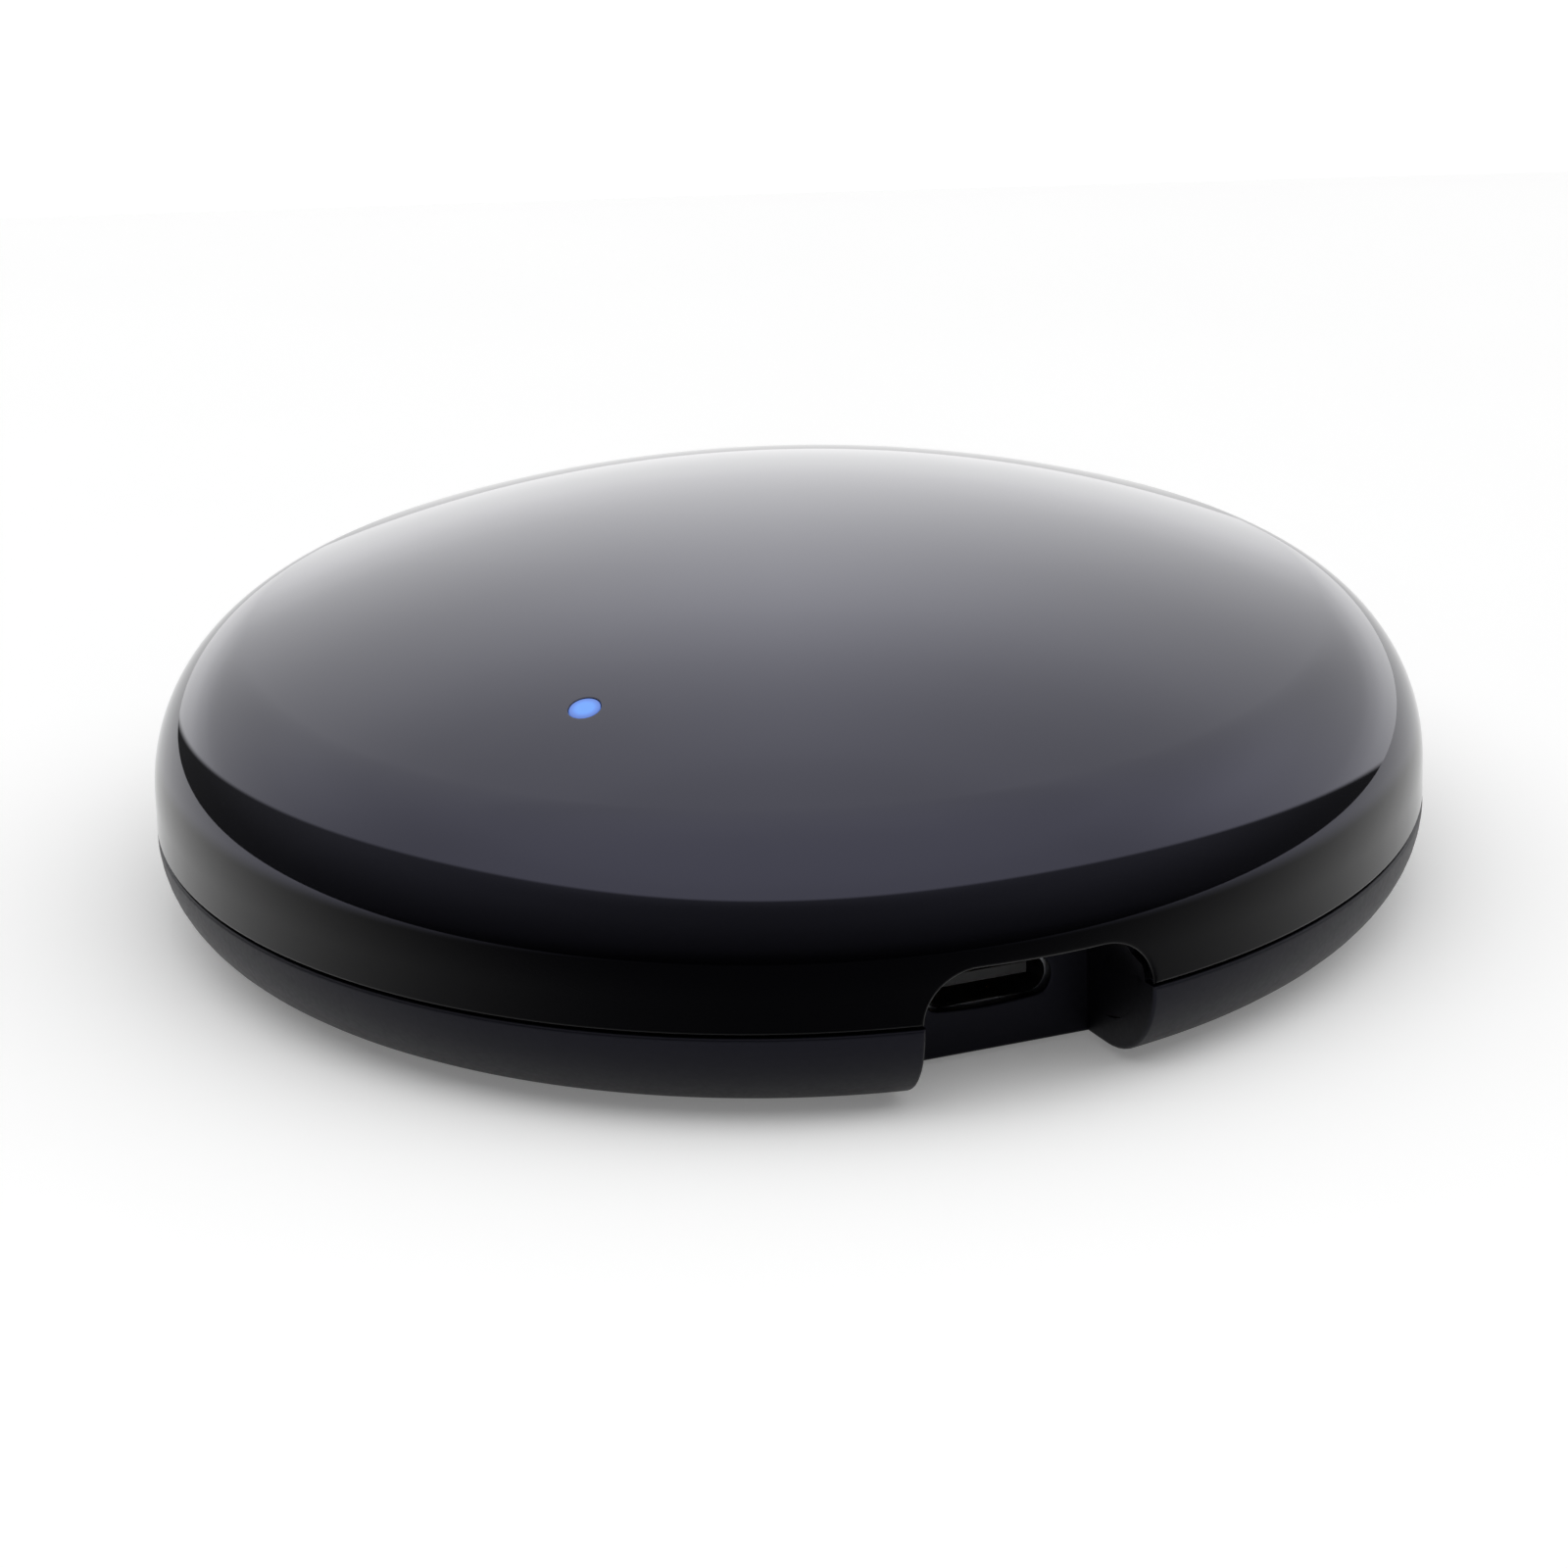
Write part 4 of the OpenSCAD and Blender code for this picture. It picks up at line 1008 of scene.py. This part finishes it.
@dataclass
class PocketWalls:
    """The pocket's tapered walls, arched roof and back wall with the socket's opening, as one solid."""

    mesh: bmesh.types.BMesh
    shape: Profile
    wall: float = 1.6
    back_wall: float = 1.8
    web: float = 0.6
    side_steps: int = 8
    corner_steps: int = 10
    roof_steps: int = 16
    floor_steps: int = 20
    depth_steps: int = 10
    socket_height: float = 4.45
    mouth: tuple[float, float] = (8.64, 2.86)
    seat: tuple[float, float] = (9.24, 3.46)
    bite: float = 0.05
    mouth_round: float = 0.12
    ring_shares: tuple[float, ...] = (0.35, 0.65, 0.9)

    def section(self, half: float, top: float, corner: float) -> list[tuple[float, float]]:
        """Gives the arch's points as pairs of side and height, from the left foot to the right foot."""
        low, base = self.shape.wall, top - corner
        rise = [(-half, low + (base - low) * i / self.side_steps) for i in range(self.side_steps)]
        turns = [math.pi / 2 * i / self.corner_steps for i in range(self.corner_steps + 1)]
        bend = [(-half + corner * (1 - math.cos(t)), base + corner * math.sin(t)) for t in turns]
        flat = half - corner
        roof = [(-flat + 2 * flat * i / self.roof_steps, top) for i in range(1, self.roof_steps)]
        left = rise + bend
        return left + roof + [(-x, z) for x, z in reversed(left)]

    def reach(self, height: float) -> float:
        """Gives how far out the walls go at a height: to the bowl's wall, the lip or the top cover.

        Args:
            height: Height above the underside.

        Returns:
            Distance from the axis.
        """
        shape = self.shape
        if height < shape.edge:
            arc = shape.edge - shape.wall
            return shape.radius - shape.edge + math.sqrt(max(0.0, arc**2 - (shape.edge - height)**2))
        if height < shape.lip_top:
            return shape.lip_outer - self.bite
        inner = shape.radius - shape.wall - shape.seam_gap
        if height < shape.wall_top:
            return inner
        return shape.shoulder_reach(height, shape.wall + shape.seam_gap)

    def grid(self, extra: float, back: float) -> list[list[Corner]]:
        """Makes the inner or outer face's corners, by steps of depth from the back to the front.

        Args:
            extra: Distance outside the pocket's inner face.
            back: Distance of the back row from the axis.

        Returns:
            Rows of corners, each from the left foot over the roof to the right foot.
        """
        shape = self.shape

        def across(depth: float) -> list[tuple[float, float]]:
            """Gives the section at a depth."""
            return self.section(shape.pocket_side(depth) + extra, shape.pocket_top + extra,
                                shape.pocket_corner + extra)

        fronts = []
        for i, (x, z) in enumerate(across(shape.radius)):
            depth = shape.radius
            for _ in range(4):
                x = across(depth)[i][0]
                depth = math.sqrt(self.reach(z)**2 - x**2)
            fronts.append(depth)
        rows = []
        for step in range(self.depth_steps + 1):
            share = step / self.depth_steps
            row = []
            for i, front in enumerate(fronts):
                depth = back + (front - back) * share
                x, z = across(max(depth, shape.pocket_back))[i]
                row.append(self.mesh.verts.new((x, -depth, z)))
            rows.append(row)
        return rows

    def stadium(self, size: tuple[float, float], toward: Sequence[Corner], depth: float,
                ) -> list[Corner]:
        """Makes a ring of corners on a slot with round ends, each facing a corner of another ring."""
        half, radius = (size[0] - size[1]) / 2, size[1] / 2
        ring = []
        for corner in toward:
            x, z = corner.co.x, corner.co.z - self.socket_height
            axis = min(half, max(-half, x * half / (half + radius)))
            away = Vector((x - axis, z)).normalized() * radius
            ring.append(self.mesh.verts.new((axis + away.x, -depth, self.socket_height + away.y)))
        return ring

    def floor_line(self, row: Sequence[Corner]) -> list[Corner]:
        """Makes the corners between a row's right foot and its left foot."""
        left, right = row[0].co, row[-1].co
        return [self.mesh.verts.new(right.lerp(left, i / self.floor_steps))
                for i in range(1, self.floor_steps)]

    def build(self) -> None:
        """Builds the walls and the back wall with its stepped opening."""
        back, behind = self.shape.pocket_back, self.shape.pocket_back - self.back_wall
        inner, outer = self.grid(0.0, back), self.grid(self.wall, behind)
        for rows in (inner, outer):
            for first, second in zip(rows, rows[1:]):
                bridge(self.mesh, first, second, ring=False)
        bridge(self.mesh, inner[-1], outer[-1], ring=False)
        for foot in (0, -1):
            bridge(self.mesh, [row[foot] for row in inner], [row[foot] for row in outer], ring=False)
        near, far = self.floor_line(inner[0]), self.floor_line(outer[0])
        bridge(self.mesh, [inner[0][-1], *near, inner[0][0]], [outer[0][-1], *far, outer[0][0]], ring=False)
        face, rear = inner[0] + near, outer[0] + far
        opening = self.stadium(self.mouth, face, back)
        last = face
        for share in self.ring_shares:
            ring = [self.mesh.verts.new(a.co.lerp(b.co, share)) for a, b in zip(face, opening)]
            bridge(self.mesh, last, ring)
            last = ring
        bridge(self.mesh, last, opening)
        web = self.stadium(self.mouth, face, back - self.web)
        step = self.stadium(self.seat, face, back - self.web)
        end = self.stadium(self.seat, rear, behind)
        for first, second in ((opening, web), (web, step), (step, end), (end, rear)):
            bridge(self.mesh, first, second)
        edge = [e for e in self.mesh.edges if e.verts[0] in opening and e.verts[1] in opening]
        bmesh.ops.recalc_face_normals(self.mesh, faces=self.mesh.faces)
        bmesh.ops.bevel(self.mesh, geom=edge, offset=self.mouth_round, segments=3, profile=0.5,
                        affect="EDGES")


@dataclass
class LightPipe(Piece):
    """The clear rod that brings the status light to the crown: a flange, a shaft and a flush tip."""

    radius: float = 1.0
    rings: int = 10
    sides: int = 48
    soft: float = 0.06
    sunk: float = 0.01
    tip_depth: float = 0.03
    bend: float = 0.3

    def facing(self, place: Vector) -> Vector | None:
        """Gives the crown's direction for the corners of the tip."""
        on_face, direction = self.shape.on_dome(place)
        return direction if (on_face - place).length < self.tip_depth else None

    def build(self) -> None:
        """Builds the rod as rings of corners from the tip's middle down to its foot."""
        shape = self.shape
        axis = round_the_axis(shape.pipe_angle, shape.pipe_reach, 0.0)
        sunk, soft = self.sunk, self.soft

        def ring(radius: float, height: float | None, drop: float = 0.0) -> list[Corner]:
            """Makes a ring of corners, level at a height or following the crown."""
            places = [axis + round_the_axis(360 * i / self.sides, radius, 0.0) for i in range(self.sides)]
            return [self.mesh.verts.new((p.x, p.y, shape.crown_height(p.xy.length) - sunk - drop
                                         if height is None else height)) for p in places]

        rings = [ring((self.radius - soft) * i / self.rings, None) for i in range(1, self.rings + 1)]
        rings += [ring(self.radius - soft * self.bend, None, soft * self.bend), ring(self.radius, None, soft)]
        box_low, box_high = (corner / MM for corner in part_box("light_pipe"))
        foot = box_low.z - shape.lift
        flange_half = (box_high.x - box_low.x) / 2
        top, low = shape.pipe_boss_foot - sunk, shape.pipe_boss_foot - sunk - shape.pipe_flange
        rings += [ring(self.radius, top), ring(flange_half, top), ring(flange_half, low),
                  ring(self.radius, low), ring(self.radius, foot)]
        hub = self.mesh.verts.new(axis + Vector((0.0, 0.0, shape.crown_height(shape.pipe_reach) - sunk)))
        for i in range(self.sides):
            self.mesh.faces.new((hub, rings[0][i], rings[0][(i + 1) % self.sides]))
        for first, second in zip(rings, rings[1:]):
            bridge(self.mesh, first, second)
        self.mesh.faces.new(rings[-1])
        self.place()


@dataclass
class Electronics:
    """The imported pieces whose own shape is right: each only gets its finish."""

    nodes: dict[str, bpy.types.Object]

    def dress(self) -> None:
        """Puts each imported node's finish in its material slot."""
        for finish, names in NODES_BY_FINISH:
            material = finish.build()
            for name in names:
                slots = self.nodes[name].data.materials
                slots.clear()
                slots.append(material)
                LOG.info("%s wears %s", name, finish.name)


@dataclass
class Studio:
    """A plain pale floor, a soft sky of light and the camera at the photograph's place."""

    floor_radius_mm: float = 5000.0
    floor_behind_mm: float = 170.0
    floor_lift: float = 0.17
    floor_colour: str = "#f5f5f5"
    sky_strength: float = 1.0
    base_height_mm: float = 0.5
    camera_distance_mm: float = 420.0
    camera_azimuth: float = -21.2
    camera_elevation: float = 21.83
    camera_roll: float = 1.69
    focal_px: float = 6397.0
    base_px: tuple[float, float] = (807.9, 890.1)
    sensor_mm: float = 36.0
    dark_side_azimuth: float = -30.2
    edge_softness: float = 1.0
    floor_sides: int = 512
    paint_scale: float = 40.0
    paint_detail: float = 3.0
    paint_roughness: tuple[float, float] = (0.85, 0.95)
    clip_near: float = 0.01
    clip_far: float = 20.0
    # Elevation of the bright part's edge at the sides, and how it rises and bows towards the front
    edge_aside: float = 28.0
    edge_rise: float = 29.7
    edge_bow: float = -14.4
    # Below which elevation, and how far behind, the wall goes on under the horizon; where the wall begins
    under_from: tuple[float, float] = (-6.0, -10.0)
    under_behind: tuple[float, float] = (-0.1, -0.4)
    wall_behind: tuple[float, float] = (0.3, -0.8)
    # The dim part in front: its factor at the sides and how much of it is lost straight in front
    dim_aside: float = 1.85
    dim_loss: float = -1.0
    # Radiance by elevation in degrees: up the back wall, overhead, and of the dim part in front
    wall_light: Stops = ((-20, 1.3), (-5, 1.5), (4, 1.83), (17, 2.35), (26, 2.54), (34, 2.65), (40, 2.5),
                         (46, 2.17), (52, 1.87), (57, 1.7), (64, 1.45), (80, 1.45))
    roof_light: Stops = ((0, 1.25), (45, 1.28), (60, 1.4), (80, 1.45))
    dim_light: Stops = ((-10, 0.0), (-5, 0.03), (6, 0.05), (17, 0.1), (27, 0.16), (38, 0.23), (44, 0.36))
    # Share that the bright part loses by half the bearing, and where it does by elevation
    side_loss: Stops = ((0, 0.13), (4, 0.21), (7.5, 0.32), (11, 0.41), (15, 0.47), (22, 0.44), (30, 0.35),
                        (37, 0.24), (45, 0.12), (52, 0.05), (60, 0.0))
    loss_band: Stops = ((-5, 0.0), (0, 0.1), (8, 0.6), (16, 1.0), (40, 1.0), (48, 0.8), (56, 0.5), (64, 0.2),
                        (72, 0.0))

    def build_floor(self) -> None:
        """Lays the pale floor that the puck stands on."""
        floor = bpy.data.meshes.new("floor")
        sides = self.floor_sides
        middle = round_the_axis(self.camera_azimuth, self.floor_radius_mm - self.floor_behind_mm, 0.0)
        rim = [(middle + round_the_axis(360 * i / sides, self.floor_radius_mm, 0.0)) * MM
               for i in range(sides)]
        floor.from_pydata(rim, [], [list(range(sides))])
        piece = bpy.data.objects.new("floor", floor)
        bpy.context.scene.collection.objects.link(piece)
        material = bpy.data.materials.new("painted_board_white")
        material.use_nodes = True
        tree = material.node_tree
        tree.nodes.clear()
        place = add_node(tree, "ShaderNodeTexCoord").outputs["Object"]
        mottle = add_node(tree, "ShaderNodeTexNoise", {"Scale": self.paint_scale,
                                                          "Detail": self.paint_detail}, {"Vector": place})
        low, high = self.paint_roughness
        rough = add_node(tree, "ShaderNodeMapRange", {"To Min": low, "To Max": high},
                         {"Value": mottle.outputs["Fac"]})
        paint = add_node(tree, "ShaderNodeBsdfDiffuse", {"Color": linear_colour(self.floor_colour)},
                         {"Roughness": rough.outputs["Result"]})
        rays = add_node(tree, "ShaderNodeLightPath").outputs
        seen = rays["Is Camera Ray"]
        for kind in ("Is Glossy Ray", "Is Transmission Ray"):
            either = add_node(tree, "ShaderNodeMath", links={0: seen, 1: rays[kind]}, operation="MAXIMUM")
            seen = either.outputs[0]
        lift = add_node(tree, "ShaderNodeMath", {1: self.floor_lift}, {0: seen},
                        operation="MULTIPLY").outputs[0]
        glow = add_node(tree, "ShaderNodeEmission", links={"Strength": lift})
        both = add_node(tree, "ShaderNodeAddShader",
                        links={0: paint.outputs["BSDF"], 1: glow.outputs["Emission"]})
        # From below, the floor lets the underside be seen
        below = add_node(tree, "ShaderNodeNewGeometry").outputs["Backfacing"]
        clear = add_node(tree, "ShaderNodeBsdfTransparent").outputs["BSDF"]
        surface = add_node(tree, "ShaderNodeMixShader", links={0: below, 1: both.outputs["Shader"], 2: clear})
        add_node(tree, "ShaderNodeOutputMaterial", links={"Surface": surface.outputs["Shader"]})
        floor.materials.append(material)
        LOG.info("floor laid")

    def build_sky(self) -> None:
        """Lights the scene from a sky that is bright overhead and behind the puck, and dim in front of it.

        Its edge and curves are fitted to what the crown mirrors in one photograph, from one side. The real
        surroundings are not known, and other sky and finish values could give the same picture.
        """
        world = bpy.data.worlds.new("studio_sky")
        bpy.context.scene.world = world
        world.use_nodes = True
        tree = world.node_tree
        tree.nodes.clear()

        def value(operation: str, *inputs: object) -> Socket:
            """Adds one step of arithmetic on sockets and numbers."""
            numbers = {i: x for i, x in enumerate(inputs) if isinstance(x, (int, float))}
            sockets = {i: x for i, x in enumerate(inputs) if not isinstance(x, (int, float))}
            return add_node(tree, "ShaderNodeMath", numbers, sockets, operation=operation).outputs[0]

        aim = add_node(tree, "ShaderNodeTexCoord").outputs["Generated"]
        turned = add_node(tree, "ShaderNodeVectorRotate", {"Angle": math.radians(-self.dark_side_azimuth)},
                          {"Vector": aim}, rotation_type="Z_AXIS")
        parts = add_node(tree, "ShaderNodeSeparateXYZ", links={"Vector": turned.outputs["Vector"]})
        height = parts.outputs["Z"]
        squared = value("SUBTRACT", 1.0, value("MULTIPLY", height, height))
        across = value("SQRT", value("MAXIMUM", squared, 1e-6))
        front = value("MULTIPLY", value("DIVIDE", parts.outputs["Y"], across), -1.0)
        elevation = value("MULTIPLY", value("ARCSINE", height), 180 / math.pi)
        edge = value("ADD", value("MULTIPLY_ADD", front, self.edge_rise, self.edge_aside),
                     value("MULTIPLY", value("MULTIPLY", front, front), self.edge_bow))
        above = value("SUBTRACT", elevation, edge)
        lit = in_range(tree, above, -self.edge_softness, self.edge_softness, smooth=True)
        # Behind the puck the bright wall goes on below the horizon
        low = in_range(tree, elevation, *self.under_from)
        rearward = in_range(tree, front, *self.under_behind)
        lit = value("MAXIMUM", lit, value("MULTIPLY", low, rearward))
        rear = self.ramp(tree, elevation, self.wall_light)
        overhead = self.ramp(tree, elevation, self.roof_light)
        behind = in_range(tree, front, *self.wall_behind, smooth=True)
        bright = value("ADD", value("MULTIPLY", rear, behind),
                       value("MULTIPLY", overhead, value("SUBTRACT", 1.0, behind)))
        dim = self.ramp(tree, elevation, self.dim_light)
        # The bright part loses most to both sides of straight behind, and nothing towards the front
        aside = add_node(tree, "ShaderNodeVectorRotate", {"Angle": math.radians(-self.camera_azimuth)},
                         {"Vector": aim}, rotation_type="Z_AXIS")
        flat = add_node(tree, "ShaderNodeSeparateXYZ", links={"Vector": aside.outputs["Vector"]}).outputs
        turn = value("ABSOLUTE", value("ARCTAN2", flat["X"], flat["Y"]))
        half_bearing = value("MULTIPLY", turn, 90 / math.pi)
        loss = self.ramp(tree, half_bearing, self.side_loss)
        band = self.ramp(tree, elevation, self.loss_band)
        bright = value("MULTIPLY", bright, value("SUBTRACT", 1.0, value("MULTIPLY", loss, band)))
        ahead = value("MAXIMUM", front, 0.0)
        dim = value("MULTIPLY", dim, value("MULTIPLY_ADD", ahead, self.dim_loss, self.dim_aside))
        unlit = value("SUBTRACT", 1.0, lit)
        total = value("ADD", value("MULTIPLY", bright, lit), value("MULTIPLY", dim, unlit))
        light = add_node(tree, "ShaderNodeBackground", {"Color": (1.0, 1.0, 1.0, 1.0)},
                         {"Strength": value("MULTIPLY", total, self.sky_strength)})
        add_node(tree, "ShaderNodeOutputWorld", links={"Surface": light.outputs["Background"]})
        LOG.info("sky lit")

    @staticmethod
    def ramp(tree: Tree, elevation: Socket, stops: Stops) -> Socket:
        """Adds a curve of radiance against elevation.

        Args:
            tree: The world's node tree.
            elevation: Socket with the elevation in degrees.
            stops: Pairs of elevation in degrees and radiance, from low to high.

        Returns:
            The socket with the radiance.
        """
        full = 4.0
        share = in_range(tree, elevation, -90.0, 90.0)
        curve = add_node(tree, "ShaderNodeFloatCurve", links={"Value": share})
        line = curve.mapping.curves[0]
        while len(line.points) > 2:
            line.points.remove(line.points[1])
        line.points[0].location = (0.0, stops[0][1] / full)
        line.points[1].location = (1.0, stops[-1][1] / full)
        for degrees, strength in stops:
            line.points.new((degrees + 90) / 180, strength / full)
        curve.mapping.update()
        radiance = add_node(tree, "ShaderNodeMath", {1: full}, {0: curve.outputs["Value"]},
                            operation="MULTIPLY")
        return radiance.outputs[0]

    def build_camera(self) -> None:
        """Sets the camera where the photograph was taken from, turned so that the puck lies as there."""
        azimuth, elevation, roll = (math.radians(a) for a in
                                    (self.camera_azimuth, self.camera_elevation, self.camera_roll))
        back = Vector((math.sin(azimuth) * math.cos(elevation), -math.cos(azimuth) * math.cos(elevation),
                       math.sin(elevation)))
        level = Vector((math.cos(azimuth), math.sin(azimuth), 0.0))
        upward = back.cross(level)
        right = level * math.cos(roll) - upward * math.sin(roll)
        top = level * math.sin(roll) + upward * math.cos(roll)
        middle = IMAGE_SIDE / 2
        aside, above = middle - self.base_px[0], self.base_px[1] - middle
        forward = -back * self.focal_px + right * aside + top * above
        forward.normalize()
        right = (right - forward * right.dot(forward)).normalized()
        top = right.cross(forward)
        base = Vector((0.0, 0.0, self.base_height_mm)) * MM
        lens = bpy.data.cameras.new("camera")
        lens.sensor_width = self.sensor_mm
        lens.lens = self.focal_px / IMAGE_SIDE * self.sensor_mm
        lens.clip_start = self.clip_near
        lens.clip_end = self.clip_far
        camera = bpy.data.objects.new("camera", lens)
        bpy.context.scene.collection.objects.link(camera)
        turn = Matrix((right, top, -forward)).transposed()
        camera.matrix_world = Matrix.Translation(base + back * self.camera_distance_mm * MM) @ turn.to_4x4()
        bpy.context.scene.camera = camera
        LOG.info("camera set")

    def build(self) -> None:
        """Makes the camera, the floor and the light, with the colours shown as they are written."""
        bpy.context.scene.view_settings.view_transform = "Standard"
        self.build_camera()
        self.build_floor()
        self.build_sky()


def main() -> None:
    """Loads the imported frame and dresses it."""
    logging.basicConfig(level=logging.INFO, format="%(name)s: %(message)s")
    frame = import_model()
    Studio().build()
    Electronics(frame["nodes"]).dress()
    TopCover("dome_shell", ("top_cover",), "cover_gloss_black", COVER_GLOSS).build()
    BottomCover("bowl_shell", ("bottom_cover",), "base_satin_black", BASE_SATIN).build()
    LightPipe("light_rod", ("light_pipe",), "light_pipe_clear", PIPE_GLOW).build()


if __name__ == "__main__":
    main()
